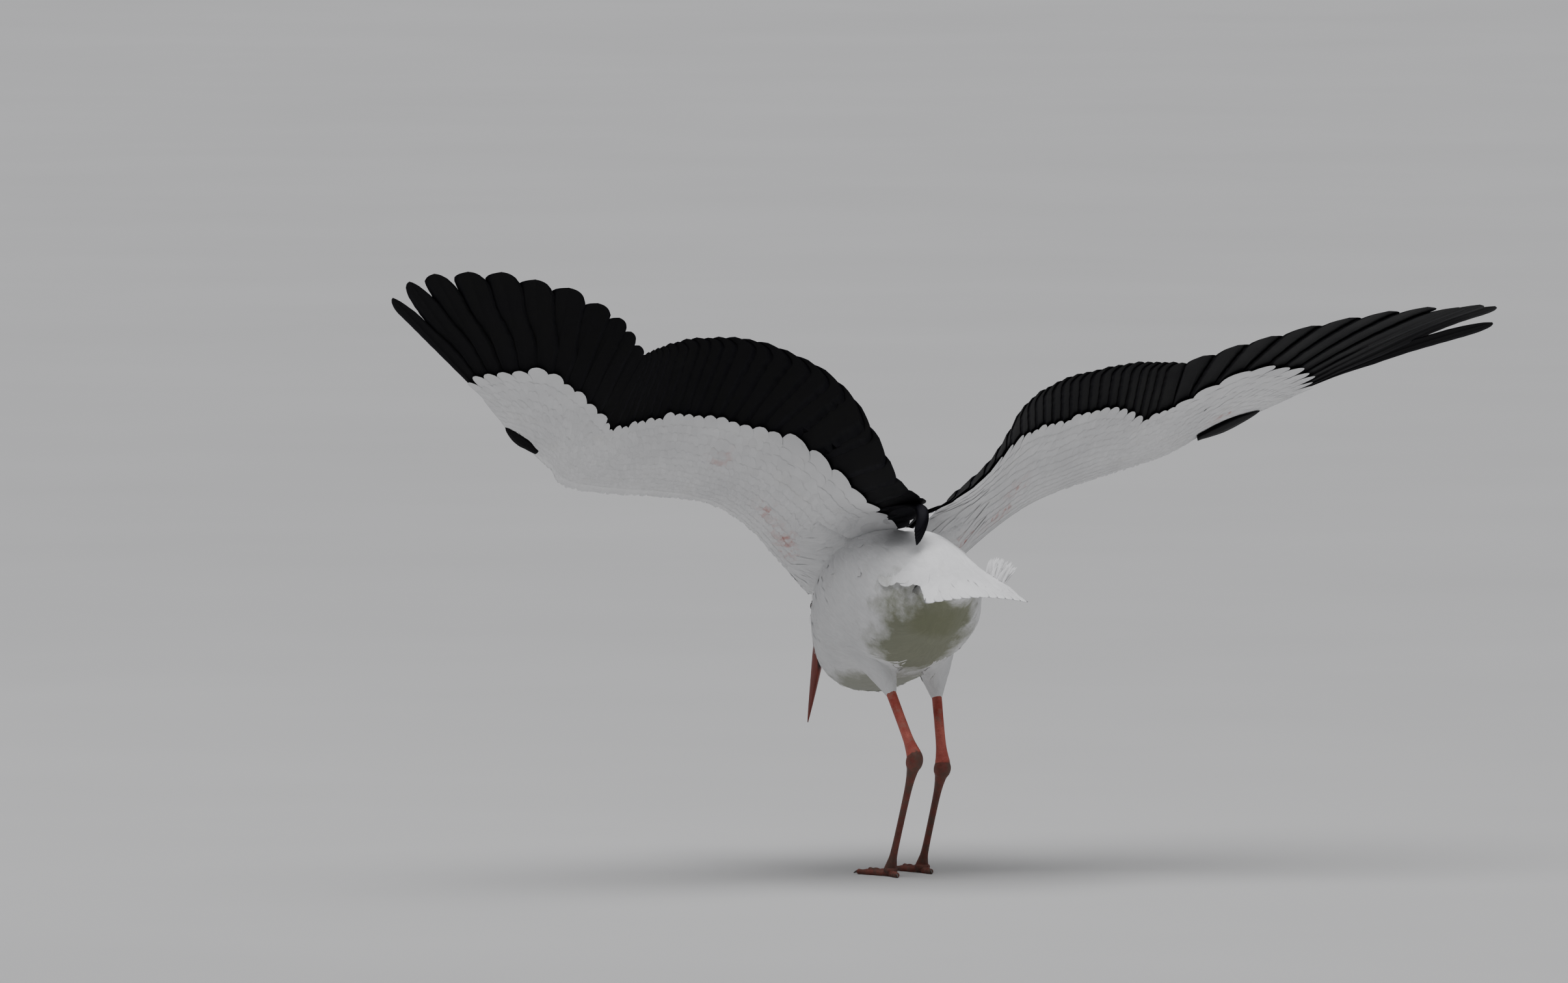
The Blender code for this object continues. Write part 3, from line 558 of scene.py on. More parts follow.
def skin_finish():
    """The skin below the coat, with the coat's black where the coat is black."""
    finish = Finish("skin", 0.75, Specular_IOR_Level=0.3)
    patchy = finish.noise(30.0, 5.0)
    pale = finish.ramp(patchy, (0.3, (0.62, 0.60, 0.58)), (0.7, (0.74, 0.73, 0.71)))
    dark = finish.ramp(patchy, (0.3, (0.010, 0.010, 0.012)), (0.7, (0.020, 0.018, 0.024)))
    base = finish.mix(finish.attribute("dark"), pale, dark)
    return finish.made(base, bump=(finish.noise(420.0, 3.0), 0.3, 0.0006))


def floor_finish():
    finish = Finish("floor", 0.85, Specular_IOR_Level=0.2)
    return finish.made(finish.ramp(finish.noise(0.9, 3.0), (0.3, (0.525, 0.525, 0.52)), (0.7, (0.55, 0.55, 0.545))))


# ---------------------------------------------------------------- building meshes from rings


def batch(rings, vane, root, size=TUFT_PATCH, tone=0.0, stain_and_shade=0.0, normals=None):
    """Rows of closed rings: rings is (pieces, rings, points, 3) and vane is each point's place on its own vane.

    root is where each piece lies on the map of the skin, and size how large its patch there is.
    """
    count = len(rings)
    stain_and_shade = np.asarray(stain_and_shade, float)
    if stain_and_shade.ndim == 1:
        stain_and_shade = stain_and_shade[:, None, None]
    return {
        "rings": rings,
        "vane": vane,
        "root": np.broadcast_to(root, (count, 2)),
        "size": np.broadcast_to(size, (count, 2)),
        "tone": np.broadcast_to(tone, count),
        "stain_and_shade": np.broadcast_to(stain_and_shade, rings.shape[:3]),
        "normals": normals,
    }


def take(each, keep):
    return {k: (v[keep] if isinstance(v, np.ndarray) else v) for k, v in each.items()}


def faces_of(rows, points, base):
    """The corners of every piece's quads and of its two ends."""
    s = np.arange(rows - 1)[None, :, None]
    r = np.arange(points)[None, None, :]
    after = (r + 1) % points
    quads = [s * points + r, (s + 1) * points + r, (s + 1) * points + after, s * points + after]
    first, last = (base + r)[:, 0], (base + (rows - 1) * points + r)[:, 0, ::-1]
    return np.stack([base + each for each in quads], axis=-1), first, last


def baked_places(each, rows, points):
    """Each corner's place on the bake map: a piece's quads fill its patch, with an arc for each end."""
    root, size = each["root"], each["size"]
    root = np.clip(root, size / 2, 1 - size / 2)
    s, r = np.arange(rows - 1)[:, None], np.arange(points)[None]
    u = joined(r, r, r + 1, r + 1) / points
    v = joined(s, s + 1, s + 1, s) / (rows - 1)
    local = joined(u, v)
    made = [(root[:, None, None, None] + (local - 0.5) * size[:, None, None, None]).reshape(-1, 2)]
    arc = np.sin(np.pi * np.arange(points) / max(points - 1, 1)) * 0.12
    for edge, flip in ((0.0, 1), (1.0, -1)):
        cap = joined(np.arange(points) / points, edge + arc * flip)[::flip]
        made.append((root[:, None] + (cap[None] - 0.5) * size[:, None]).reshape(-1, 2))
    return made


def corner_normals(own):
    """The normals of every corner in the order of its faces, turned over on the side that closes each ring."""
    beside = np.roll(own, -1, axis=2)
    folded = np.stack([own[:, :-1], own[:, 1:], beside[:, 1:], beside[:, :-1]], axis=3)
    folded[:, :, -1] *= -1
    return [folded.reshape(-1, 3), own[:, 0].reshape(-1, 3), own[:, -1, ::-1].reshape(-1, 3)]


def build(name, batches, finish, replaced=()):
    """One object from several batches, riding on the bird."""
    bakes, normals, corners, totals = [], [], [], []
    offset = 0
    batches = [each for each in batches if len(each["rings"])]
    for each in batches:
        rings = each["rings"]
        count, rows, points, _ = rings.shape
        base = offset + (np.arange(count) * rows * points)[:, None, None]
        faces = faces_of(rows, points, base)
        corners += [each_face.ravel() for each_face in faces]
        totals += [np.full(faces[0][..., 0].size, 4), np.full(2 * count, points)]
        bakes += baked_places(each, rows, points)
        normals += corner_normals(np.zeros_like(rings) if each["normals"] is None else each["normals"])
        offset += count * rows * points
    places = np.concatenate([each["rings"].reshape(-1, 3) for each in batches]).astype(np.float32)
    vanes = np.concatenate([each["vane"].reshape(-1, 2) for each in batches]).astype(np.float32)
    tones = [np.repeat(each["tone"], each["rings"][0, ..., 0].size) for each in batches]
    stains = [each["stain_and_shade"].ravel() for each in batches]
    bakes, normals = np.concatenate(bakes).astype(np.float32), np.concatenate(normals)
    corners, totals = (np.concatenate(a).astype(np.int32) for a in (corners, totals))
    mesh = bpy.data.meshes.new(name)
    mesh.vertices.add(len(places))
    mesh.vertices.foreach_set("co", places.ravel())
    mesh.loops.add(len(corners))
    mesh.loops.foreach_set("vertex_index", corners)
    mesh.polygons.add(len(totals))
    mesh.polygons.foreach_set("loop_start", np.concatenate([[0], np.cumsum(totals)[:-1]]).astype(np.int32))
    mesh.polygons.foreach_set("loop_total", totals)
    mesh.update(calc_edges=True)
    mesh.uv_layers.new(name="Vane").uv.foreach_set("vector", vanes[corners].ravel())
    mesh.uv_layers.new(name="OFBake").uv.foreach_set("vector", np.clip(bakes, 0.0, 1.0).ravel())
    for label, values in (("tone", tones), ("stain_and_shade", stains)):
        layer = mesh.attributes.new(label, "FLOAT", "POINT")
        layer.data.foreach_set("value", np.concatenate(values).astype(np.float32))
    mesh.shade_smooth()
    if np.any(normals):
        mesh.normals_split_custom_set(unit(normals).tolist())
    made = add_object(name, mesh)
    mesh.materials.append(FINISHES[finish])
    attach(made, "root")
    SLOTS.get(finish, "white_feather")
    if replaced:
        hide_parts(*replaced)
    return made


def strips(count, height):
    """The places and the size on the bake map of a few long pieces beside each other."""
    return joined((np.arange(count) + 0.5) / count, 0.5), (0.9 / count, height)


def tube(rings):
    """A batch of one long closed form, with its vane map in metres round and along."""
    rings = np.asarray(rings, float)[None]
    points = rings.shape[2]
    along = np.concatenate([[0], np.cumsum(np.linalg.norm(np.diff(rings[0].mean(1), axis=0), axis=1))])
    girth = np.linalg.norm(np.diff(rings[0], axis=1, append=rings[0][:, :1]), axis=-1).sum(1)
    around = np.arange(points) / points
    vane = joined(around[None] * girth[:, None], np.repeat(along[:, None], points, 1))[None]
    return batch(rings, vane, (0.5, 0.5), 0.96)


def sided_tube_rings(centres, fore, sideways, points):
    """Rings round a middle line, with their radius fore and aft and their radius towards the bird's sides."""
    centres = np.asarray(centres, float)
    along = unit(np.gradient(centres, axis=0))
    across = unit(LEFT - (along @ LEFT)[:, None] * along)
    third = np.cross(along, across)
    angle = circle(points)
    return (
        centres[:, None]
        + third[:, None] * (np.asarray(fore)[:, None] * np.cos(angle))[..., None]
        + across[:, None] * (np.asarray(sideways)[:, None] * np.sin(angle))[..., None]
    )


# ---------------------------------------------------------------- wings


class Wing:
    """A wing laid out flat by its bones and feather rays, then bent into its pose."""

    def __init__(self, side):
        self.side = side
        self.name = "left" if side == 1 else "right"
        self.pose = pose = WINGS[side]
        joints = [np.zeros(2)]
        for length, back in BONES:
            angle = math.radians(back)
            joints.append(joints[-1] + length * np.array([math.cos(angle), math.sin(angle)]))
        _, elbow, wrist, tip = joints
        self.root_rays = np.array([-2.0, 6.0, 24.0, 37.0])
        self.roots = np.array([elbow * -0.2, elbow, wrist, wrist + (tip - wrist) * 13 / 11])
        self.slots = (*SLOT_DEPTH, (LAST_FEATHER - 1, pose["outer_slot"]))
        self.x = np.linspace(-0.12, 1.02, 229)
        fore, hand = smoothstep(self.x, 0.06, 0.30), smoothstep(self.x, 0.32, 0.64)
        elevation, sweep, pronation = (
            a + (b - a) * fore + (c - b) * hand
            for a, b, c in (np.radians(pose[k]) for k in ("elevation", "sweep", "pronation"))
        )
        out, ahead, up = turn(side, 0, 0), turn(0, 1, 0), turn(0, 0, 1)
        level = np.outer(np.cos(sweep), out) + np.outer(np.sin(sweep), ahead)
        span = level * np.cos(elevation)[:, None] + np.outer(np.sin(elevation), up)
        back = np.outer(np.sin(sweep), out) - np.outer(np.cos(sweep), ahead)
        rise = side * np.cross(span, back)
        cos, sin = np.cos(pronation)[:, None], np.sin(pronation)[:, None]
        self.chord, self.normal = back * cos + rise * sin, rise * cos - back * sin
        line = np.cumsum(span, axis=0) * (self.x[1] - self.x[0])
        left, forward, height = pose["shoulder"]
        self.line = line - line[np.argmin(np.abs(self.x))] + point(side * left, forward, height)

    def read(self, table, at):
        return np.stack([np.interp(at, self.x, table[:, k]) for k in range(3)], axis=-1)

    def place(self, flat, root_x, lift):
        """Points of the flat wing, lift above its upper side, in the pose."""
        x, y = flat[..., 0], flat[..., 1]
        bend = (x + root_x) / 2
        lift = lift + 0.005 * (y / 0.3) ** 2 * np.sign(y)
        behind, above = y[..., None] * self.read(self.chord, bend), lift[..., None] * self.read(self.normal, bend)
        return self.read(self.line, x) + behind + above

    def root(self, ray):
        return np.stack([np.interp(ray, self.root_rays, self.roots[:, k]) for k in range(2)], axis=-1)

    def ray_at(self, x):
        return np.interp(x, self.roots[:, 0], self.root_rays)

    def direction(self, ray):
        ray = np.maximum(ray, 0)
        share = (ray - FIRST_PRIMARY - 0.5) / (PRIMARIES - 1)
        arm, hand = keyed(((0, 95), (6, 98), (24, 81.5)), ray), 77 - 88 * share + 21 * share**2
        angle = np.radians(np.where(ray < FIRST_PRIMARY, arm, hand))
        return joined(np.cos(angle), np.sin(angle))

    def length(self, feather):
        feather = np.clip(feather, 0, LAST_FEATHER - 1)
        outer = keyed(PRIMARY_LENGTH, (feather - FIRST_PRIMARY) / (PRIMARIES - 1))
        return np.where(feather < FIRST_PRIMARY, keyed(SECONDARY_LENGTH, feather + 0.5), outer)

    def slot_start(self, edge):
        return np.minimum(self.length(edge - 1), self.length(edge)) - keyed(self.slots, edge)

    def rise(self, ray, reach):
        middle, tip = self.pose["tertial_rise"]
        inner = np.maximum(0, 1 - np.maximum(ray, 0) / 4.6) ** 2
        return inner * keyed(((0, 0), (0.12, middle), (0.262, tip)), reach)

    def sag(self, ray, reach):
        return self.pose["tip_sag"] * smoothstep(ray, 21, 25) * np.maximum(0, (reach - 0.15) / 0.28) ** 2

    def spot(self, ray, reach, lift=0.0):
        """The point reach along a feather ray."""
        ray, reach, lift = np.broadcast_arrays(np.asarray(ray, float), reach, lift)
        root = self.root(ray)
        flat = root + self.direction(ray) * reach[..., None]
        return self.place(flat, root[..., 0], self.rise(ray, reach) - self.sag(ray, reach) + lift)

    def spacing(self, ray, reach):
        """How far apart two neighbouring rays lie there."""
        gap = lambda a: self.root(a) + self.direction(a) * reach[..., None]
        return np.linalg.norm(gap(ray + 0.5) - gap(ray - 0.5), axis=-1)

    def chord_ends(self, ray):
        """Where a ray's chord starts, at the leading edge, and ends, as points of the flat wing."""
        root = self.root(ray)
        front = joined(root[..., 0], keyed(LEADING_EDGE, root[..., 0]))
        return front, root + self.direction(ray) * np.asarray(keyed(COVERT_REACH, ray))[..., None]

    def chord_length(self, ray):
        front, back = self.chord_ends(ray)
        return np.linalg.norm(back - front, axis=-1)

    def white_edge(self, ray):
        """How far behind the leading edge the white coverts end underneath."""
        return self.chord_length(ray) + keyed(self.pose["white"], ray) - keyed(COVERT_REACH, ray)

    def tip_spacing(self, ray, reach):
        return self.spacing(ray, np.maximum(reach, 0.05))

    def swell(self, ray, share):
        s = np.clip(share, 0, 1) ** (1 / 1.35)
        return keyed(ARM_THICKNESS, ray) * (2.6 * np.sqrt(s) * (1 - s) ** 1.1 + 0.06 * s) / 1.25

    def on_arm(self, ray, q, up, lift):
        """A point q behind the leading edge, lift proud of the upper (up = 1) or lower (up = -1) side."""
        ray, q, lift = np.broadcast_arrays(np.asarray(ray, float), q, lift)
        front, back = self.chord_ends(ray)
        covert = keyed(COVERT_REACH, ray)
        whole = np.linalg.norm(back - front, axis=-1)
        share = q / whole
        inner = np.minimum(share, 1)[..., None]
        flat = front + (back - front) * inner + self.direction(ray) * np.maximum(q - whole, 0)[..., None]
        reach = np.where(share < 1, covert * share, covert + q - whole)
        swell = self.swell(ray, share)
        surface = np.maximum(0.60 * swell, 0.0030) if up == 1 else -np.maximum(0.45 * swell, 0.0032)
        surface = surface * smoothstep(share, -0.06, 0.05)
        height = self.rise(ray, np.maximum(reach, 0)) - self.sag(ray, np.maximum(reach, 0)) + surface + up * lift
        return self.place(flat, self.root(ray)[..., 0], height)


def blade_profile(s, tip=0.55, root=0.35, blunt=0.10):
    """A small feather's half width along its length, from 0 to 1."""
    grow = root + (1 - root) * np.clip(s / 0.40, 0, 1) ** 0.8
    close = np.sqrt(np.clip(1 - (np.clip(s - (1 - tip), 0, None) / tip) ** 2, 0, 1))
    return np.maximum(grow * close, blunt)


def remiges(wing):
    """The long feathers of the wing, each with a narrow leading vane, a broad trailing vane and a shaft."""
    left = wing.side == 1
    k = np.arange(LAST_FEATHER)[:, None]
    outermost = k == LAST_FEATHER - 1
    length = wing.length(k) + RNG.uniform(-0.0025, 0.0015, k.shape)
    start = 0.030
    s = tip_crowded(34, 1.8)
    reach = start + (length - start) * s
    middle = k + 0.5 + RNG.uniform(-0.08, 0.08, k.shape) * s * (k > 0)
    spacing = wing.spacing(middle, reach)
    primary = k >= FIRST_PRIMARY
    pointed = smoothstep(k, FIRST_PRIMARY + 7.2, FIRST_PRIMARY + 9.4)
    fingered = smoothstep(k, FIRST_PRIMARY + 2, FIRST_PRIMARY + 6)
    slotted = smoothstep(k, FIRST_PRIMARY + 2.5, FIRST_PRIMARY + 4.5)
    closed = np.where(outermost, 1.0 if left else 1.4, wing.pose["closed"])

    def half_width(full, edge, rounding):
        slot = wing.slot_start(edge)
        free = np.clip((reach - slot) / (length - slot), 0, 1)
        allowed = closed * 0.5 * spacing * (1 - free**1.3 * (0.06 * fingered + 0.36 * pointed))
        narrowed = smoothstep(reach, slot - 0.110, slot + 0.004) * slotted
        width = full + (np.minimum(allowed, full) - full) * narrowed
        ending = np.sqrt(np.clip(1 - (1 - np.minimum((length - reach) / rounding, 1)) ** 2, 0, 1))
        width = width * ending * (0.30 + 0.70 * smoothstep(reach, start, start + 0.07))
        rag = 1 + 0.018 * np.sin(reach * 260 + k * 2.1) + 0.014 * np.sin(reach * 610 + k * 5.3)
        return np.maximum(width * rag, 0.0006)

    outer_full = np.where(primary, np.minimum(0.030, 0.58 * spacing), 0.0165)
    outer_full = np.where(outermost, np.minimum(outer_full, (0.40 if left else 0.55) * spacing), outer_full)
    inner_full = np.where(primary, np.minimum(0.038, 0.95 * spacing), 0.029)
    inner_full = np.where(k == 0, 0.016, inner_full)
    outer = half_width(outer_full, k + 1, np.where(primary, 0.016 + 0.030 * pointed, 0.022))
    inner = half_width(inner_full, k, np.where(primary, 0.030 + 0.016 * fingered + 0.030 * pointed, 0.026))
    columns = np.array([-1.0, -0.55, -0.07, 0.0, 0.07, 0.40, 0.75, 1.0])
    offset = np.where(columns < 0, -columns * outer[..., None], -columns * inner[..., None])
    ray = middle[..., None] + offset / spacing[..., None]
    shaft = (0.0013 * (1 - s) + 0.00025)[..., None] * (np.abs(columns) < 0.01)
    vane = 0.00022 * (1 - 0.6 * np.abs(columns) ** 2)
    twist = smoothstep(k, LAST_FEATHER - 2.6, LAST_FEATHER - 1) * smoothstep(reach, 0.12, 0.20)
    lift = 0.045 * offset - 0.0007 * columns**2
    lift = lift - wing.pose["outer_twist"] * twist[..., None] * offset
    silver_and_sheen = np.where((k >= 2) & (k < FIRST_PRIMARY), 0.34, 0.18)
    if not left:
        parted = 0.011 * smoothstep(k, LAST_FEATHER - 4, LAST_FEATHER - 2) * ~outermost - 0.003 * outermost
        lift = lift + (parted * smoothstep(reach, 0.20, 0.38))[..., None]
        # The right wing's innermost feathers get far more of the bluish grey: a painted reflection of the sky on
        # their upper sides
        silver_and_sheen = silver_and_sheen + 0.9 * smoothstep(k, 6.5, 3.0)
    top = wing.spot(ray, reach[..., None], lift + vane + shaft * 0.6)
    rings = ring(top, wing.spot(ray, reach[..., None], lift - vane - shaft), -2)
    across = ring(offset, offset)
    silver_and_sheen = silver_and_sheen[..., None] * np.ones(offset.shape)
    silver_and_sheen = silver_and_sheen * (0.45 + 0.55 * (columns < 0)) + RNG.uniform(-0.06, 0.06, (len(k), 1, 1))
    bloom_and_sheen = ring(silver_and_sheen, np.zeros_like(silver_and_sheen))
    if not left:
        rings, across, bloom_and_sheen = rings[:, :, ::-1], across[..., ::-1], bloom_and_sheen[..., ::-1]
    vane_map = joined(across, reach[..., None])
    return batch(rings, vane_map, *strips(LAST_FEATHER, 0.96), RNG.uniform(-1, 1, len(k)), bloom_and_sheen)


def coverts(
    wing, up, ray_tip, q_tip, length, width, lift, rows, tip, drift=0.10, scatter=1.0, tilt=0.022, uneven=0.002
):
    """Short feathers in a row across the wing, each conforming to the wing's upper or lower side."""
    count = len(ray_tip)
    ray_tip = ray_tip[:, None]
    s = tip_crowded(rows, 1.35)
    length, width, q_tip, lift = (np.broadcast_to(v, count)[:, None] for v in (length, width, q_tip, lift))
    length = length * (1 + RNG.uniform(-0.07, 0.07, (count, 1)) * scatter)
    q = q_tip - length * (1 - s) + RNG.uniform(-uneven, uneven, (count, 1)) * scatter
    reach = np.maximum(q, 0.02)
    spacing = wing.spacing(ray_tip, reach)
    ray = ray_tip + (drift + RNG.normal(0, 0.05, (count, 1)) * scatter) * length * (s - 1) / spacing
    half = width * blade_profile(s, tip, 0.50, 0.12)
    columns = FIVE_COLUMNS
    side = columns[None, None] * half[..., None]
    rays = ray[..., None] + side / spacing[..., None]
    slope = (tilt + RNG.normal(0, 0.010, (count, 1, 1)) * scatter) * up
    edges = 0.0007 * columns**2 * (half / 0.016)[..., None]
    proud = (lift * (s - 0.30))[..., None] + slope * side - edges + 0.0006
    deep = np.broadcast_to(q[..., None], rays.shape)
    rings = wing.on_arm(rays, deep, up, proud)
    level = wing.on_arm(rays, deep, up, 0.0)
    across = wing.on_arm(rays + 0.1, deep, up, 0.0) - level
    normal = unit(np.cross(across, wing.on_arm(rays, deep + 0.006, up, 0.0) - level)) * (wing.side * up)
    normal = normal + unit(across) * (columns * 0.05)[None, None, :, None] + RNG.normal(0, 0.025, (count, 1, 1, 3))
    if wing.side * up == 1:
        rings, normal = rings[:, :, ::-1], normal[:, :, ::-1]
    vane_map = joined(side, (length * s)[..., None])
    root = joined((ray_tip[:, 0] + 2.5) / 39.5, np.clip((q_tip[:, 0] + 0.02) / 0.42, 0, 1))
    return batch(rings, vane_map, root, tone=RNG.uniform(-1, 1, count), normals=normal)


def stained(wing, made, ray, share):
    """Marks the feathers of a row that lie in the reddish smudges."""
    stain_and_shade = np.zeros(len(ray))
    for at, far in wing.pose["stains"]:
        near = np.exp(-(((ray - at) / 0.8) ** 2) - ((share - far) / 0.09) ** 2)
        stain_and_shade = np.maximum(stain_and_shade, near * RNG.uniform(0.1, 1.0, len(ray)))
    made["stain_and_shade"] = np.broadcast_to(stain_and_shade[:, None, None], made["rings"].shape[:3])
    return made


def with_between(feathers):
    """The places of a second row, which also has feathers between those of the first."""
    between = np.concatenate([feathers, feathers + 0.5])
    return between[between < LAST_FEATHER - 0.3]


def small_rows(wing, whole, share, widths, lengths):
    """Rows of small feathers from a share of their whole reach up to the leading edge.

    Each is (share, rays, tips, length, width); widths and lengths are given at the leading edge and by share.
    """
    inner, outer = wing.root(SMALL_COVERT_RAYS)[:, 0]
    while share > 0.02:
        width, length = (at_edge + grown * share for at_edge, grown in (widths, lengths))
        step = width * 0.72
        x = np.arange(inner, outer, step) + RNG.uniform(-0.3, 0.3) * step
        x = x + RNG.uniform(-0.3, 0.3, len(x)) * step
        ray = wing.ray_at(x[(x > inner) & (x < outer)])
        tip = whole(ray) * share + RNG.uniform(-0.006, 0.006, len(ray)) * share
        yield share, ray, tip, length, width
        share -= 0.30 * length / 0.17


def under_coverts(wing):
    """The white underside: one great covert to each long feather, then shorter rows up to the leading edge."""
    feathers = np.arange(-1, LAST_FEATHER) + 0.5
    edge = wing.white_edge(feathers)
    width = np.where(feathers > FIRST_PRIMARY, 0.60, 0.66) * wing.tip_spacing(feathers, edge)
    great = coverts(
        wing, -1, feathers, edge, 0.085, width, 0.0011, rows=12, tip=0.24, scatter=0.6, tilt=0.016, uneven=0.009
    )
    made = [stained(wing, great, feathers, edge / wing.chord_length(feathers))]
    between = with_between(feathers)
    edge = wing.white_edge(between)
    width = 0.40 * wing.tip_spacing(between, edge)
    second = coverts(wing, -1, between, edge * 0.86, 0.070, width, 0.0010, rows=10, tip=0.30, tilt=0.016)
    made.append(stained(wing, second, between, 0.9 * edge / wing.chord_length(between)))
    for share, ray, tip, length, width in small_rows(wing, wing.white_edge, 0.76, (0.0040, 0.0080), (0.020, 0.050)):
        lift = 0.0006 + 0.0006 * share
        small = coverts(wing, -1, ray, tip, length, width, lift, rows=7, tip=0.5, tilt=0.014)
        made.append(stained(wing, small, ray, tip / wing.chord_length(ray)))
    return made


def upper_coverts(wing):
    """Both colours of the wing's upper side: white to beyond the middle of the arm, then black."""
    feathers = np.arange(-1, LAST_FEATHER) + 0.5
    edge = wing.chord_length(feathers) + np.where(feathers < FIRST_PRIMARY, 0.040, 0.044)
    width = 0.62 * wing.tip_spacing(feathers, edge)
    great = coverts(wing, 1, feathers, edge, 0.090, width, 0.0018, rows=12, tip=0.26, drift=0.03, scatter=0.7)
    between = with_between(feathers)
    edge = (wing.chord_length(between) + 0.035) * 0.86
    width = 0.40 * wing.tip_spacing(between, edge)
    white, black = [], [great, coverts(wing, 1, between, edge, 0.065, width, 0.0016, rows=10, tip=0.32, drift=0.03)]
    whole = lambda ray: wing.chord_length(ray) + 0.03
    for share, ray, tip, length, width in small_rows(wing, whole, 0.84, (0.0050, 0.0075), (0.020, 0.048)):
        made = coverts(wing, 1, ray, tip, length, width, 0.0010 + 0.0009 * share, rows=7, tip=0.5, drift=0.03)
        ragged = RNG.uniform(-0.02, 0.02, len(ray))
        dark = share > keyed(WHITE_ABOVE, ray) + ragged
        white.append(take(made, ~dark))
        black.append(take(made, dark))
    return white, black


def alula(wing):
    """The thumb's black feathers along the hand's leading edge."""
    rows = 16
    first, last, back, low, bulge = wing.pose["alula"]
    columns = np.array([-1.0, -0.4, 0.0, 0.5, 1.0])
    t = np.linspace(0, 1, rows)
    bulge = bulge * ALULA_BULGE * np.sin(math.pi * np.clip(0.16 + 0.76 * t, 0, 1)) ** 1.1
    feathers = []
    for number in range(3):
        x = first + (last - first) * (1 - 0.13 * number) * t
        edge = keyed(LEADING_EDGE, x)
        behind = edge + back + 0.002 * number
        front = edge - bulge + 0.0028 * number + 0.002
        half = (behind - front) / 2 * blade_profile(t, 0.42, 0.50)
        y = ((behind + front) / 2)[:, None] + half[:, None] * columns
        flat = joined(x[:, None], y)
        for up in (1, -1):
            lift = up * ((0.0034 if up == 1 else low) - 0.0009 * number - 0.0008 * columns**2)
            lift = lift * (1 - 0.35 * t[:, None])
            outside, inside = (wing.place(flat, flat[..., 0], lift - up * depth) for depth in (0, 0.0006))
            feathers.append(ring(outside, inside, 1)[:, :: wing.side * up])
    rings = np.array(feathers)
    vane_map = np.zeros((*rings.shape[:3], 2))
    vane_map[..., 0] = ring(columns, columns) * 0.008
    vane_map[..., 1] = np.linspace(0, 0.1, rows)[None, :, None]
    return batch(rings, vane_map, strips(len(rings), 0.9)[0], (0.14, 0.9))


# ---------------------------------------------------------------- tail


def tail_spot(ray, reach, lift):
    share = 2 * ray / TAIL_FEATHERS - 1
    slope = math.radians(TAIL_SLOPE)
    angle = np.radians(TAIL_TURN + share * TAIL_HALF_SPREAD)
    left = share * TAIL_HALF_ROOT + np.sin(angle) * reach
    back = np.cos(angle) * reach
    arch = TAIL_ARCH * (np.maximum(reach, 0) / TAIL_LENGTH) * share**2
    normal = turn(0, -math.sin(slope), math.cos(slope))
    at = point(left, TAIL_ROOT[0] - back * math.cos(slope), TAIL_ROOT[1] - back * math.sin(slope) - arch)
    return at + lift[..., None] * normal


def rectrices():
    """The tail's long feathers."""
    k = np.arange(TAIL_FEATHERS)[:, None]
    share = (2 * k + 1) / TAIL_FEATHERS - 1
    length = TAIL_LENGTH * (1 - 0.035 * share**2)
    s = tip_crowded(22, 1.7)
    reach = -0.02 + (length + 0.02) * s
    spacing = 0.004 + 0.0625 * np.maximum(reach, 0)
    half = 0.0175 * (0.35 + 0.65 * smoothstep(reach, -0.02, 0.07))
    ending = np.sqrt(np.clip(1 - (1 - np.minimum((length - reach) / 0.030, 1)) ** 2, 0, 1))
    half = np.maximum(half * ending, 0.0005)
    columns = np.array([-1.0, -0.5, -0.06, 0.0, 0.06, 0.5, 1.0])
    offset = columns * half[..., None]
    ray = np.clip(k[..., None] + 0.5 + offset / spacing[..., None], -0.35, TAIL_FEATHERS + 0.35)
    shaft = (0.0010 * (1 - s) + 0.0002)[..., None] * (np.abs(columns) < 0.01)
    vane = 0.0002 * (1 - 0.6 * columns**2)
    stack = 0.0035 * (1 - np.abs(share))[..., None] - 0.0010 * columns**2
    deep = np.broadcast_to(reach[..., None], ray.shape)
    top, bottom = (tail_spot(ray, deep, stack + thick) for thick in (vane + shaft, -vane - shaft))
    across = ring(offset, offset)[..., ::-1]
    vane_map = joined(across, reach[..., None])
    rings = ring(top, bottom, -2)[:, :, ::-1]
    return batch(rings, vane_map, *strips(TAIL_FEATHERS, 0.96), RNG.uniform(-1, 1, TAIL_FEATHERS))


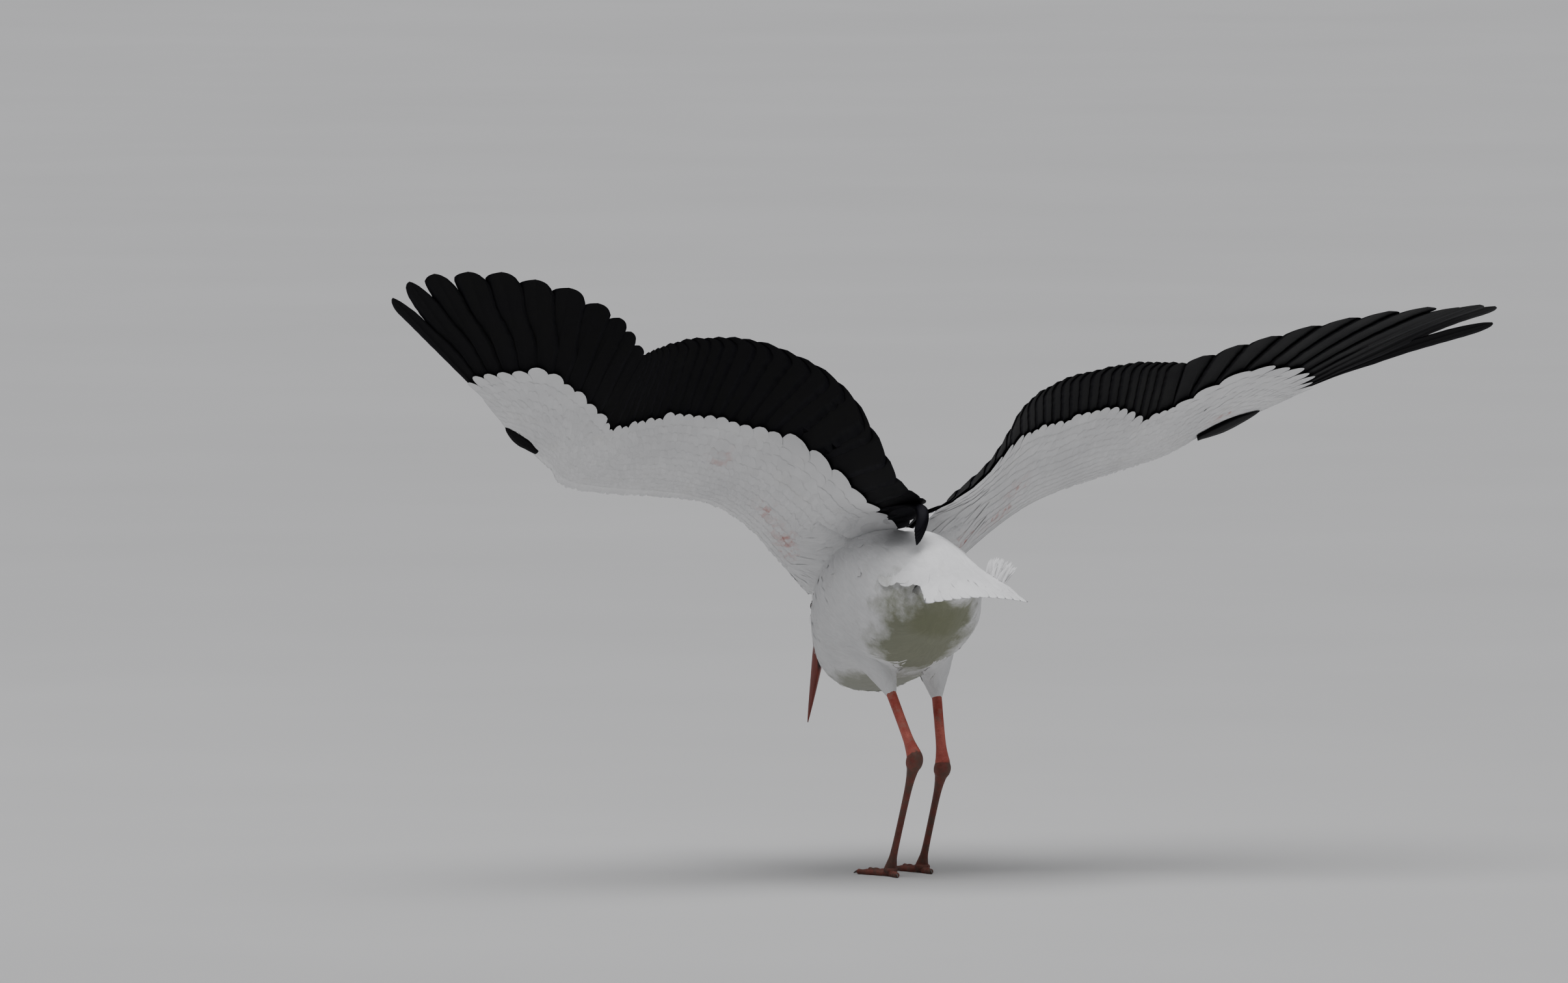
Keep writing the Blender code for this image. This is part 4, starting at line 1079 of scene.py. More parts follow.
def tail_coverts(up, count):
    """Soft feathers that run from the back or the belly over or under the tail's base."""
    share = RNG.uniform(-1.0, 1.0, (count, 1)) * (1.0 if up == 1 else 0.86)
    if up == 1:
        start = -0.045 - 0.195 * RNG.uniform(0, 1, (count, 1)) ** 1.4
        length = RNG.uniform(0.046, 0.074, (count, 1))
    else:
        start = RNG.uniform(-0.185, -0.125, (count, 1))
        length = RNG.uniform(0.066, 0.086, (count, 1))
    s = tip_crowded(7, 1.3)
    ahead = start - length * s
    half = RNG.uniform(0.0048, 0.0078, (count, 1)) * blade_profile(s, 0.50, 0.45, 0.12)
    columns = FIVE_COLUMNS
    drift = RNG.normal(0, 0.05, (count, 1)) * s
    shares = share[..., None] + drift[..., None] + columns * (half / 0.058)[..., None]
    lying = smoothstep(ahead, -0.19, -0.24) if up == 1 else 0.0
    curl = (0.0022 if up == 1 else 0.0034) * (s**0.6 - 0.25 * smoothstep(s, 0.7, 1.0))
    base = 0.0012 + curl * (1 - 0.75 * lying)
    base = base + 0.0008 * RNG.uniform(0, 1, (count, 1)) * (1 - 0.6 * lying)
    base = base - 0.0026 * lying * smoothstep(s, 0.62, 1.0)
    tilt = RNG.normal(0, 0.03, (count, 1, 1)) * columns * half[..., None]
    lift = base[..., None] - 0.0009 * columns**2 + tilt
    aheads = np.broadcast_to(ahead[..., None], shares.shape)
    rings = rump_point(shares, aheads, lift, up)
    level = rump_point(shares, aheads, 0.0, up)
    beside, before = rump_point(shares + 0.02, aheads, 0.0, up), rump_point(shares, aheads + 0.004, 0.0, up)
    normal = unit(np.cross(beside - level, before - level))
    normal = normal * np.sign(normal @ UP)[..., None] * up
    if up == 1:
        normal = unit(normal + 0.7 * turn(0, -0.2, 1))
    normal = normal + columns[:, None] * (0.12 * LEFT) + RNG.normal(0, 0.035, (count, 1, 1, 3))
    if up == 1:
        rings, normal = rings[:, :, ::-1], normal[:, :, ::-1]
    vane_map = joined(columns * half[..., None], (length * s)[..., None])
    root = np.concatenate([(share + 1.2) / 2.4, np.clip((start + 0.21) / 0.17, 0, 1)], axis=1) * 0.9 + 0.05
    return batch(rings, vane_map, root, tone=RNG.uniform(-1, 1, count), normals=normal)


# ---------------------------------------------------------------- skin


def trunk_surface(depth, stations=70, points=64):
    angle = circle(points)
    flat = 2 / TRUNK_SQUARENESS
    across = np.sign(np.cos(angle)) * np.abs(np.cos(angle)) ** flat
    upward = np.sign(np.sin(angle)) * np.abs(np.sin(angle)) ** flat
    rows = smooth_rows(TRUNK, stations)
    ahead, top, bottom, half = rows.T[:, :, None]
    top, bottom, half = top - depth, bottom + depth, np.maximum(half - depth, 0.004)
    middle = bottom + (top - bottom) * TRUNK_SIDE_HEIGHT
    height = middle + upward * np.where(upward > 0, top - middle, middle - bottom)
    shrink = 1 - 2 * depth / (TRUNK[-1][0] - TRUNK[0][0])
    centre = (TRUNK[-1][0] + TRUNK[0][0]) / 2
    return point(half * across, centre + (ahead + 0 * across - centre) * shrink, height)


def leg_points(side):
    knee = point(side * KNEE_OUT, KNEE_AHEAD[side], KNEE_UP)
    ankle = point(side * ANKLE_OUT[side], ANKLE_AHEAD[side], ANKLE_UP[side])
    foot = point(side * FOOT_OUT[side], FOOT_AHEAD[side], TOE_ROOT_UP)
    return knee, ankle, foot


def bone_rings(start, end, rows, points, stations, depth=0.0):
    share, fore, sideways = smooth_rows(rows, stations).T
    centres = start + (end - start) * share[:, None]
    return sided_tube_rings(centres, fore - depth, sideways - depth, points)


def head_surface(along, angle, depth):
    """Points of the head's surface, angle round it from the bird's left."""
    rise, low, half = (values - depth for values in columns_at(smooth_rows(HEAD, 200), along))
    height = np.where(np.sin(angle) > 0, rise, low) * np.sin(angle)
    return head_point(along, height, half * np.cos(angle))


def arm_surface(wing, depth):
    rings = []
    share = np.linspace(0.02, 1, 14) ** 1.35 * 0.72
    for ray in np.linspace(-1.6, 34.6, 60):
        q = share * wing.chord_length(np.float64(ray))
        upper = wing.on_arm(ray, q, 1, -depth)
        lower = wing.on_arm(ray, q, -1, -depth)
        rings.append(np.concatenate([upper, lower[::-1]]))
    return np.array(rings)


def rump_point(share, ahead, lift, up):
    """A point of the soft surface that joins the back (up = 1) or the belly (up = -1) to the tail."""
    half, ridge, drop = columns_at(RUMP, ahead) if up == 1 else (keyed(keys, ahead) for keys in VENT)
    bend = np.abs(share) ** 2.2
    if up == -1:
        bend = np.minimum(bend, 1 - 2.5 * (np.abs(share) - 1))
    turned = np.radians(TAIL_TURN) * np.clip((-0.16 - ahead) / 0.12, 0, 1)
    behind = np.maximum(TAIL_ROOT[0] - ahead, 0)
    height = ridge - up * drop * bend
    if up == 1:
        slope = math.radians(TAIL_SLOPE)
        reach = behind / math.cos(slope)
        across = half * np.abs(share) / (TAIL_HALF_ROOT + 0.358 * reach)
        on_tail = TAIL_ROOT[1] - math.sin(slope) * reach - TAIL_ARCH * reach / TAIL_LENGTH * across**2
        on_tail = on_tail + 0.0035 * np.maximum(1 - across, 0) + 0.0008 - 0.035 * np.maximum(across - 1.02, 0)
        higher = (height + on_tail + np.sqrt((height - on_tail) ** 2 + 0.002**2)) / 2
        height = height + (higher - height) * smoothstep(ahead, -0.150, -0.195)
    return point(half * share + np.sin(turned) * behind, ahead - up * 0.3 * lift, height + up * lift * 0.94)


def make_skin(wings):
    """One skin for the trunk, neck, head, thighs and the fleshy parts of both wings."""
    ahead, up, radius = smooth_rows(NECK, 60).T
    tuck = smoothstep(np.linspace(0, 1, 60), 0.62, 0.96)
    middle = point(0 * ahead, ahead - 0.009 * tuck, up)
    neck = sided_tube_rings(middle, radius - 0.0045 - 0.0015 * tuck, radius * 0.94 - 0.0045, 40)
    along, angle = np.meshgrid(np.linspace(0.0015, HEAD_LENGTH, 40), circle(48), indexing="ij")
    forms = [trunk_surface(0.0085), neck, head_surface(along, angle, 0.0018)]
    forms += [bone_rings(*leg_points(side)[:2], THIGH, 32, 30, depth=0.0034) for side in (1, -1)]
    forms += [arm_surface(wing, 0.0012) for wing in wings]
    made = build("skin", [tube(form) for form in forms], "skin")
    remesh = made.modifiers.new("remesh", "REMESH")
    remesh.mode = "VOXEL"
    remesh.voxel_size = 0.0036
    soften = made.modifiers.new("soften", "SMOOTH")
    soften.factor = 0.5
    soften.iterations = 8
    mesh = bpy.data.meshes.new_from_object(made.evaluated_get(bpy.context.evaluated_depsgraph_get()))
    made.modifiers.clear()
    made.data, old = mesh, made.data
    bpy.data.meshes.remove(old)
    mesh.name = "skin"
    mesh.shade_smooth()
    if not mesh.materials:
        mesh.materials.append(FINISHES["skin"])
    flesh = ["trunk", "neck_lower", "neck_upper", "head"]
    for name in ("left", "right"):
        flesh += [f"wing_{name}_{part}" for part in ("upper_arm", "forearm", "hand")] + [f"leg_{name}_thigh"]
    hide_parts(*flesh)
    return made


# ---------------------------------------------------------------- the body's coat


class Fields:
    """Which part of the body a point belongs to, and how the coat lies there."""

    def __init__(self):
        self.trunk = smooth_rows(TRUNK, 200)
        self.neck = smooth_rows(NECK, 120)
        self.head = smooth_rows(HEAD, 60)

    def bird(self, at):
        """Points as (left, ahead, up)."""
        q = at - FEET
        return q[:, 0], -q[:, 1], q[:, 2]

    def head_place(self, at):
        """Points as (along, rise, side) on the head."""
        q = at - point(0, *BILL_BASE)
        return q @ FORWARD + HEAD_LENGTH, q @ CROWN, q[:, 0]

    def read(self, at):
        """The coat at points on the skin: which way it flows, its feathers' size, and the part it belongs to."""
        left, ahead, up = self.bird(at)
        inside = np.clip(ahead, self.trunk[0, 0], self.trunk[-1, 0])
        top, bottom, half = columns_at(self.trunk, inside)
        middle = bottom + (top - bottom) * TRUNK_SIDE_HEIGHT
        tall = np.where(up > middle, top - middle, middle - bottom)
        in_trunk = np.sqrt((left / half) ** 2 + ((up - middle) / tall) ** 2) + np.abs(ahead - inside) / 0.03
        neck_ahead, neck_up, radius = self.neck.T
        gap = np.sqrt(left[:, None] ** 2 + (ahead[:, None] - neck_ahead) ** 2 + (up[:, None] - neck_up) ** 2) / radius
        nearest = gap.argmin(axis=1)
        in_neck = gap[np.arange(len(at)), nearest]
        place = nearest / (len(self.neck) - 1)
        slope = np.gradient(self.neck[:, :2], axis=0)[nearest]
        down_neck = -unit(turn(0 * left, slope[:, 0], slope[:, 1]))
        along, rise, side = self.head_place(at)
        inside = np.clip(along, 0.0, HEAD_LENGTH)
        high, low, wide = columns_at(self.head, inside)
        in_head = np.sqrt((side / wide) ** 2 + (rise / np.where(rise > 0, high, low)) ** 2)
        in_head = in_head + np.abs(along - inside) / 0.008
        weights = [in_trunk, in_neck, in_head]
        flows = [None, down_neck, np.broadcast_to(-FORWARD, at.shape)]
        shares = []
        for sign in (1, -1):
            knee, ankle, _ = leg_points(sign)
            axis = ankle - knee
            share = (at - knee) @ axis / (axis @ axis)
            wide = np.interp(share, [row[0] for row in THIGH], [(row[1] + row[2]) / 2 for row in THIGH])
            far = np.linalg.norm(at - knee - share[:, None] * axis, axis=1) / wide
            weights.append(far + np.maximum(share - 0.56, 0) * 30 + np.maximum(-0.02 - share, 0) * 30)
            flows.append(np.broadcast_to(unit(axis), at.shape))
            shares.append(share)
        weights = np.exp(-((np.maximum(np.array(weights) - 0.88, 0) / 0.20) ** 2))
        weights[0] = np.maximum(weights[0], 1e-4)
        front = smoothstep(ahead, 0.10, 0.20)
        fall = 0.14 + 0.75 * front + 0.42 * smoothstep(np.abs(left), 0.03, 0.10) * smoothstep(up, 0.36, 0.44)
        flows[0] = unit(turn(-0.25 * left / 0.1, -1.0 + 0 * ahead, -fall))
        flow = unit(np.einsum("pn,pnk->nk", weights, np.array(flows)))
        plume = smoothstep(ahead, 0.13, 0.20) * smoothstep(up, 0.46, 0.38)
        rump = smoothstep(ahead, -0.08, -0.17)
        face = smoothstep(along, 0.020, 0.066)
        thigh_share = np.where(left > 0, shares[0], shares[1])
        tip = smoothstep(thigh_share, 0.12, 0.52)
        nape = smoothstep(place, 0.55, 1.0)
        # Length, half width and lift of the trunk's, the neck's, the head's and the thighs' feathers
        thigh = [0.034 - 0.018 * tip, 0.0044 - 0.0018 * tip, 0.0032 - 0.0012 * tip]
        sizes = np.array([
            [0.040 + 0.016 * plume + 0.008 * rump, 0.0062 - 0.0022 * plume, 0.0046 + 0.0016 * plume],
            [0.036 - 0.016 * place - 0.006 * nape, 0.0046 - 0.0018 * place - 0.0008 * nape, 0.0034 - 0.0012 * place],
            [0.0130 - 0.0074 * face, 0.0020 - 0.0010 * face, 0.0012 - 0.0004 * face],
            thigh,
            thigh,
        ])
        length, width, lift = (weights[:, None] * sizes).sum(axis=0) / weights.sum(axis=0)
        region, head = weights.argmax(axis=0), (along, rise, side)
        return {"flow": flow, "length": length, "width": width, "lift": lift, "region": region, "head": head}


def is_bare(along, rise, side):
    """Where the face has no feathers: round the eye, before it to the bill, and the chin."""
    low, high = bare_band(along)
    beside = (rise > low + 0.0006) & (rise < high - 0.0006) & (np.abs(side) > 0.006) & (along > 0.0370)
    return beside | (along > 0.058) & (rise < -0.0115)


def sample_skin(skin, fields, layers):
    """Random roots all over the body's skin, denser where the feathers are smaller."""
    mesh = skin.data
    places = vertex_places(mesh).astype(float)
    mesh.calc_loop_triangles()
    triangles = np.empty(len(mesh.loop_triangles) * 3, np.int32)
    mesh.loop_triangles.foreach_get("vertices", triangles)
    triangles = triangles.reshape(-1, 3)
    a, b, c = (places[triangles[:, k]] for k in range(3))
    cross = np.cross(b - a, c - a)
    area = np.linalg.norm(cross, axis=1) / 2
    middle = (a + b + c) / 3
    left, ahead, up = fields.bird(middle)
    info = fields.read(middle)
    arm = (np.abs(left) > 0.128) & (up > 0.44) | (np.abs(left) > 0.112) & (up > 0.53) & (ahead < 0.14)
    bare = is_bare(*info["head"]) & (info["region"] == 2)
    per_area = layers[info["region"]] / (0.6 * info["length"] * 2 * info["width"])
    rump = (ahead < -0.150) & (up > 0.462)
    expected = area * per_area * ~arm * ~bare * ~rump * SHARE
    total = int(expected.sum())
    chosen = RNG.choice(len(area), total, p=expected / expected.sum())
    u, v = RNG.uniform(0, 1, (2, total, 1))
    flip = u + v > 1
    u, v = np.where(flip, 1 - u, u), np.where(flip, 1 - v, v)
    roots = a[chosen] + (b - a)[chosen] * u + (c - a)[chosen] * v
    return roots, unit(cross[chosen])


def lay_feathers(tree, roots, normals, info, rows, wild):
    """Walks each feather over the skin from its root, and returns its middle line, normals and sideways axis."""
    count = len(roots)
    length = info["length"] * RNG.uniform(0.82, 1.15, count)
    flow = info["flow"] + RNG.normal(0, 0.07 + wild, (count, 3))
    at = roots.copy()
    middle = np.empty((count, rows, 3))
    skin_normal = np.empty((count, rows, 3))
    direction = unit(flow - (flow * normals).sum(1, keepdims=True) * normals)
    normal = normals
    steps = np.diff(np.linspace(0, 1, rows) ** 0.85)
    middle[:, 0], skin_normal[:, 0] = at, normal
    for j, step in enumerate(steps, 1):
        ahead = at + direction * (length * step)[:, None]
        found, turned = np.empty_like(at), np.empty_like(at)
        for i in range(count):
            found[i], turned[i] = tree.find_nearest(ahead[i])[:2]
        normal = unit(0.35 * normal + 0.65 * turned)
        at = found
        direction = unit(direction - (direction * normal).sum(1, keepdims=True) * normal)
        middle[:, j], skin_normal[:, j] = at, normal
    middle[:, 1:-1] = 0.5 * middle[:, 1:-1] + 0.25 * (middle[:, :-2] + middle[:, 2:])
    along = unit(np.gradient(middle, axis=1))
    return middle, skin_normal, unit(np.cross(skin_normal, along)), length


def body_batch(tree, fields, roots, normals, wild=0.0, proud=1.0, thin=1.0, uneven=0.08):
    """A feather at each root, lying on the skin, and what fields reads there."""
    rows = 6
    info = fields.read(roots)
    middle, up, across, length = lay_feathers(tree, roots, normals, info, rows, wild)
    count = len(roots)
    s = np.linspace(0, 1, rows) ** 0.85
    half = (info["width"] * RNG.uniform(0.8, 1.2, count) * thin)[:, None] * blade_profile(s, 0.62, 0.45, 0.20)[None]
    curl = (1 + RNG.uniform(-uneven, uneven, count)) * proud
    folds = np.sin(middle @ np.array([58.0, 21.0, 34.0]) + 1.0) * np.sin(middle @ np.array([-23.0, 51.0, 47.0]))
    lift = 0.30 + 0.70 * curl[:, None] * s**0.6 - 0.24 * smoothstep(s, 0.68, 1.0) + 0.30 * folds * s**0.6
    lift = info["lift"][:, None] * lift
    centre = middle + up * lift[..., None]
    tilt = RNG.normal(0, 0.035, (count, 1, 1))
    edge = up * (0.22 * half)[..., None]
    left = centre - across * half[..., None] - edge - up * tilt * half[..., None]
    right = centre + across * half[..., None] - edge + up * tilt * half[..., None]
    crown = centre + up * (0.06 * half + 0.0002)[..., None]
    rings = np.stack([left, crown, right], axis=2)
    lean = RNG.normal(0, 0.045, (count, 1, 3))
    soft = np.stack([up - 0.16 * across + lean, up + lean, up + 0.16 * across + lean], axis=2)
    vane_map = joined(np.array([-1.0, 0, 1.0]) * half[..., None], (length[:, None] * s)[..., None])
    return batch(rings, vane_map, (0, 0), tone=RNG.uniform(-1, 1, count), normals=soft), info


def skin_map(fields, roots, region):
    """Each root's place on an unwrap of the part of the skin that it grows from."""
    left, ahead, up = fields.bird(roots)
    along, rise, side = fields.head_place(roots)
    turned = np.arctan2(up - 0.42, left) / (2 * math.pi) + 0.5
    trunk = joined(turned, (ahead + 0.22) / 0.46)
    nearest = np.hypot(ahead[:, None] - fields.neck[:, 0], up[:, None] - fields.neck[:, 1]).argmin(axis=1)
    tangent = unit(np.gradient(fields.neck[:, :2], axis=0))[nearest]
    off = (ahead - fields.neck[nearest, 0]) * -tangent[:, 1] + (up - fields.neck[nearest, 1]) * tangent[:, 0]
    neck = joined(np.arctan2(off, left) / (2 * math.pi) + 0.5, nearest / (len(fields.neck) - 1))
    head = joined(np.arctan2(rise, side) / (2 * math.pi) + 0.5, along / HEAD_LENGTH)
    turned = np.arctan2(ahead, np.abs(left) - 0.05) / (4 * math.pi) + 0.25 + 0.5 * (left > 0)
    thigh = joined(turned, (up - 0.25) / 0.2)
    places = np.choose(region[:, None].clip(0, 3), [trunk, neck, head, thigh])
    return np.clip(places, 0, 1) * 0.99 + 0.005


def make_body_coat(skin, fields, tree):
    layers = np.array([9.5, 9.5, 9.0, 9.5, 9.5])  # feathers over each other on trunk, neck, head and thighs
    roots, normals = sample_skin(skin, fields, layers)
    made, info = body_batch(tree, fields, roots, normals)
    region = np.minimum(info["region"], 3)
    made["root"] = skin_map(fields, roots, region)
    left, ahead, up = fields.bird(roots)
    over_thigh = np.hypot(np.abs(left) - 0.043, ahead + 0.012) < 0.034
    on_thigh = (region == 0) & (up < 0.335) & (np.abs(left) > 0.026) & over_thigh
    groups = {
        "coat_back": (region == 0) & (up > 0.42),
        "coat_breast": (region == 0) & (up <= 0.42) & ~on_thigh,
        "coat_neck": region == 1,
        "coat_head": region == 2,
        "coat_thighs": (region == 3) | on_thigh,
    }
    for name, keep in groups.items():
        build(name, [take(made, keep)], "thigh" if name == "coat_thighs" else "down")
    shaggy = smoothstep(ahead, 0.12, 0.20) * 0.5 + 0.02 * (ahead > -0.05)
    loose = (region < 2) & (RNG.uniform(0, 1, len(roots)) < 0.5 * shaggy)
    looks = {"wild": 0.12, "proud": 1.20, "thin": 0.24, "uneven": 0.30}
    wisps, info = body_batch(tree, fields, roots[loose], normals[loose], **looks)
    wisps["root"] = skin_map(fields, roots[loose], np.minimum(info["region"], 3))
    build("coat_wisps", [wisps], "down")


def curved_feathers(name, paths, widths, up, finish, tip, rows, soft=None, stain_and_shade=0.0):
    """Free feathers, each along its own Bezier curve, (feathers, 4, 3)."""
    count = len(paths)
    s = np.linspace(0, 1, rows) ** 0.95
    weights = np.stack([(1 - s) ** 3, 3 * s * (1 - s) ** 2, 3 * s**2 * (1 - s), s**3])
    middle = np.einsum("kr,nkc->nrc", weights, paths)
    along = unit(np.gradient(middle, axis=1))
    across = unit(np.cross(np.broadcast_to(up, (count, 3))[:, None], along))
    normal = np.cross(along, across)
    half = np.broadcast_to(widths, count)[:, None] * blade_profile(s, tip, 0.5)
    columns = FIVE_COLUMNS
    top = (
        middle[:, :, None]
        + across[:, :, None] * (columns * half[..., None])[..., None]
        - normal[:, :, None] * (0.25 * half[..., None] * columns**2)[..., None]
    )
    thick = normal[:, :, None] * (0.0003 * (1 - 0.7 * columns**2))[:, None]
    rings = ring(top + thick, top - thick, 2)
    length = np.linalg.norm(np.diff(middle, axis=1), axis=2).sum(1)
    side = ring(columns, columns)
    vane_map = joined(side * half[..., None], (length[:, None] * s)[..., None])
    root, size = strips(count, 0.9)
    size = size if count < 60 else TUFT_PATCH
    if soft is not None:
        soft = unit(np.broadcast_to(soft, rings.shape) + RNG.normal(0, 0.12, (count, 1, 1, 3)))
    build(name, [batch(rings, vane_map, root, size, RNG.uniform(-1, 1, count), stain_and_shade, soft)], finish)


def make_axillars(wing, count, lift):
    """Long feathers under the root of a wing."""
    ray = RNG.uniform(-0.4, 3.4, count)
    tip = RNG.uniform(0.35, 1.05, count) * (wing.chord_length(ray) + 0.03)
    length, width = RNG.uniform(0.080, 0.115, count), RNG.uniform(0.006, 0.009, count)
    made = coverts(wing, -1, ray, tip, length, width, lift, rows=12, tip=0.5, drift=0.75)
    build(f"axillars_{wing.name}", [made], "down")


def make_tertial_hook(wing):
    """The last tertials, which droop over the back in a hook, and three short feathers at their root."""
    count = 6
    t = np.linspace(0, 1, count)
    paths = np.empty((count, 4, 3))
    paths[:, 0] = wing.spot(0.9 - 0.7 * t, 0.185, 0.002 + 0.002 * t)
    paths[:, 1] = wing.spot(0.6 - 0.5 * t, 0.265, 0.002 + 0.003 * t)
    paths[:, 2] = point(0.017 + 0.005 * t, -0.166 + 0.004 * t, 0.588 - 0.004 * t)
    paths[:, 3] = point(0.041 + 0.004 * (1 - t), -0.152 + 0.002 * t, 0.519 + 0.020 * (1 - t) ** 1.4)
    widths = np.linspace(0.0100, 0.0085, count)
    curved_feathers("tertial_hook", paths, widths, turn(0.1, -0.6, 0.8), "black", 0.36, 26, stain_and_shade=0.15)
    rays, ends = np.array([0.15, -0.2, -0.5]), np.array([0.262, 0.245, 0.212])
    lifts = ((0, 0.014), (0.33, -0.003), (0.67, -0.0035), (1.0, -0.0035))
    paths = np.stack([wing.spot(rays, 0.115 + (ends - 0.115) * share, lift) for share, lift in lifts], axis=1)
    curved_feathers("inner_tertials", paths, 0.0135, wing.normal[20], "black", 0.32, 18, stain_and_shade=0.1)


def make_tuft():
    """The ruffled tuft beside the tail."""
    count = 120
    fan = np.linspace(-1, 1, count)
    starts = point(-0.053 - 0.006 * fan, -0.243 - 0.013 * fan, 0.470 - 0.004 * fan)
    starts = starts + RNG.normal(0, 1, (count, 3)) * np.array([0.003, 0.004, 0.001])
    headings = turn(-0.16 - 0.24 * fan, -0.10 - 0.2 * fan, 1.0 - 0.15 * fan)
    headings = unit(headings + RNG.normal(0, 0.08, (count, 3)))
    reach = (RNG.uniform(0.024, 0.033, count) * (1 - 0.22 * fan**2))[:, None]
    curl = turn(-0.7, -0.4, 0.1) * 0.006
    steps = ((0, 0), (0.35, 0), (0.7, 0.4), (1, 1))
    paths = np.stack([starts + headings * reach * far + curl * curled for far, curled in steps], axis=1)
    widths = RNG.uniform(0.0009, 0.0017, count)
    curved_feathers("ruffled_tuft", paths, widths, turn(0, -1, 0.3), "thigh", 0.65, 8, soft=turn(0.1, -0.55, 0.8))


# ---------------------------------------------------------------- head


def bare_band(along):
    """The lower and upper edge of the black skin beside the eye and before it, by place along the head."""
    ring = np.sqrt(np.clip(1 - ((along - EYE_ALONG) / 0.0098) ** 2, 0, 1)) * 0.0092
    lore = 0.0034 * smoothstep(along, EYE_ALONG, EYE_ALONG + 0.006)
    lore = lore * (1 - 0.25 * smoothstep(along, 0.060, HEAD_LENGTH))
    middle = EYE_RISE - 0.24 * np.maximum(along - EYE_ALONG, 0)
    half = np.maximum(ring, lore)
    return middle - half * 0.95, middle + half


def make_bill():
    """The sheaths of both halves, with nostrils and their grooves in the upper one."""
    arc = np.linspace(0, math.pi, 24)[None]
    share = np.linspace(0, 1, 72)[:, None] ** 0.95
    tucked = 1 - 0.13 * (1 - smoothstep(share, -0.004, 0.055))
    taper = (1 - share) ** 0.86
    half = (BILL_HALF_WIDTH * taper + 0.0007) * tucked
    upper = (BILL_UPPER_HEIGHT * taper + 0.0010) * tucked
    lower = (BILL_LOWER_DEPTH * (1 - share**1.7) + 0.0009) * tucked
    for sign, name, height, reach, keel in (
        (1, "bill_upper", upper, BILL_LENGTH, 0.10),
        (-1, "bill_lower", lower, BILL_LENGTH * 0.985, 0.16),
    ):
        edge = 0.0022 * share**2 + sign * 0.00015
        along = HEAD_LENGTH - 0.004 + (reach + 0.004) * share
        ridge = np.sin(arc) ** 8 * keel * height * 0.35
        tall = height * np.sin(arc) * (1 - keel * 0.35) + ridge
        wide = half * np.cos(arc) * (1 - 0.10 * np.sin(2 * arc) ** 2)
        if sign == 1:
            for flank in (0.30 * math.pi, 0.70 * math.pi):
                pit = np.exp(-(((share - 0.150) / 0.022) ** 2) - (((arc - flank) / 0.12) ** 2))
                groove = np.exp(-(((share - 0.26) / 0.13) ** 2) - (((arc - flank) / 0.20) ** 2))
                wide = wide * (1 - 0.24 * pit - 0.07 * groove)
                tall = tall * (1 - 0.08 * pit - 0.03 * groove)
        made = tube(head_point(along + 0 * tall, edge + sign * tall, wide)[:, ::-sign])
        # The lower half's underside is painted black from its base to about two fifths of its length: painted shade,
        # joined to the black gular skin
        if sign == -1:
            far = 0.055 + 0.40 * np.sin(arc) ** 1.5
            made["stain_and_shade"] = smoothstep(share - far, 0.05, -0.05)[None]
        build(name + "_horn", [made], "bill", [name])


def make_face():
    """Black bare skin round the eyes and on the lores, and a black gular fold below the bill's base: real gular skin
    at the chin, drawn on under the lower bill as painted shade.
    """
    along = np.linspace(EYE_ALONG - 0.0093, HEAD_LENGTH + 0.0012, 44)[:, None]
    low, high = bare_band(along)
    across = np.linspace(0, 1, 12)[None]
    rise = low + (high - low) * across
    tall, deep, wide = columns_at(smooth_rows(HEAD, 200), np.minimum(along, HEAD_LENGTH))
    bulge = np.sin(math.pi * across) ** 0.5
    side = wide * np.sqrt(np.clip(1 - (rise / np.where(rise > 0, tall, deep)) ** 2, 0.02, 1))
    for sign, name in ((1, "left"), (-1, "right")):
        outer = head_point(along + 0 * rise, rise, sign * (side - 0.0016 + 0.0015 * bulge))
        inner = head_point(along + 0 * rise, rise, sign * (side - 0.0042))
        rings = np.concatenate([outer, inner[:, ::-1]], axis=1)
        build(f"lore_skin_{name}", [tube(rings[:, ::-sign])], "face")
    # The fold reaches 5 cm past the bill's base: past the chin it is a black sheet of painted shade
    share = np.linspace(0, 1, 44)[:, None]
    wide = 0.0112 * np.sin(math.pi * (0.12 + 0.82 * share)) ** 0.8 * (1 - 0.45 * share)
    low = -(0.0158 - 0.0050 * share)
    angle = circle(24)
    tall = 0.0034 * np.sqrt(np.clip(1 - (2 * share - 1) ** 4, 0.02, 1))
    rings = head_point(0.050 + 0.072 * share + 0 * angle, low + tall * np.sin(angle), wide * np.cos(angle))
    build("gular_skin_and_shade", [tube(rings[:, ::-1])], "face")


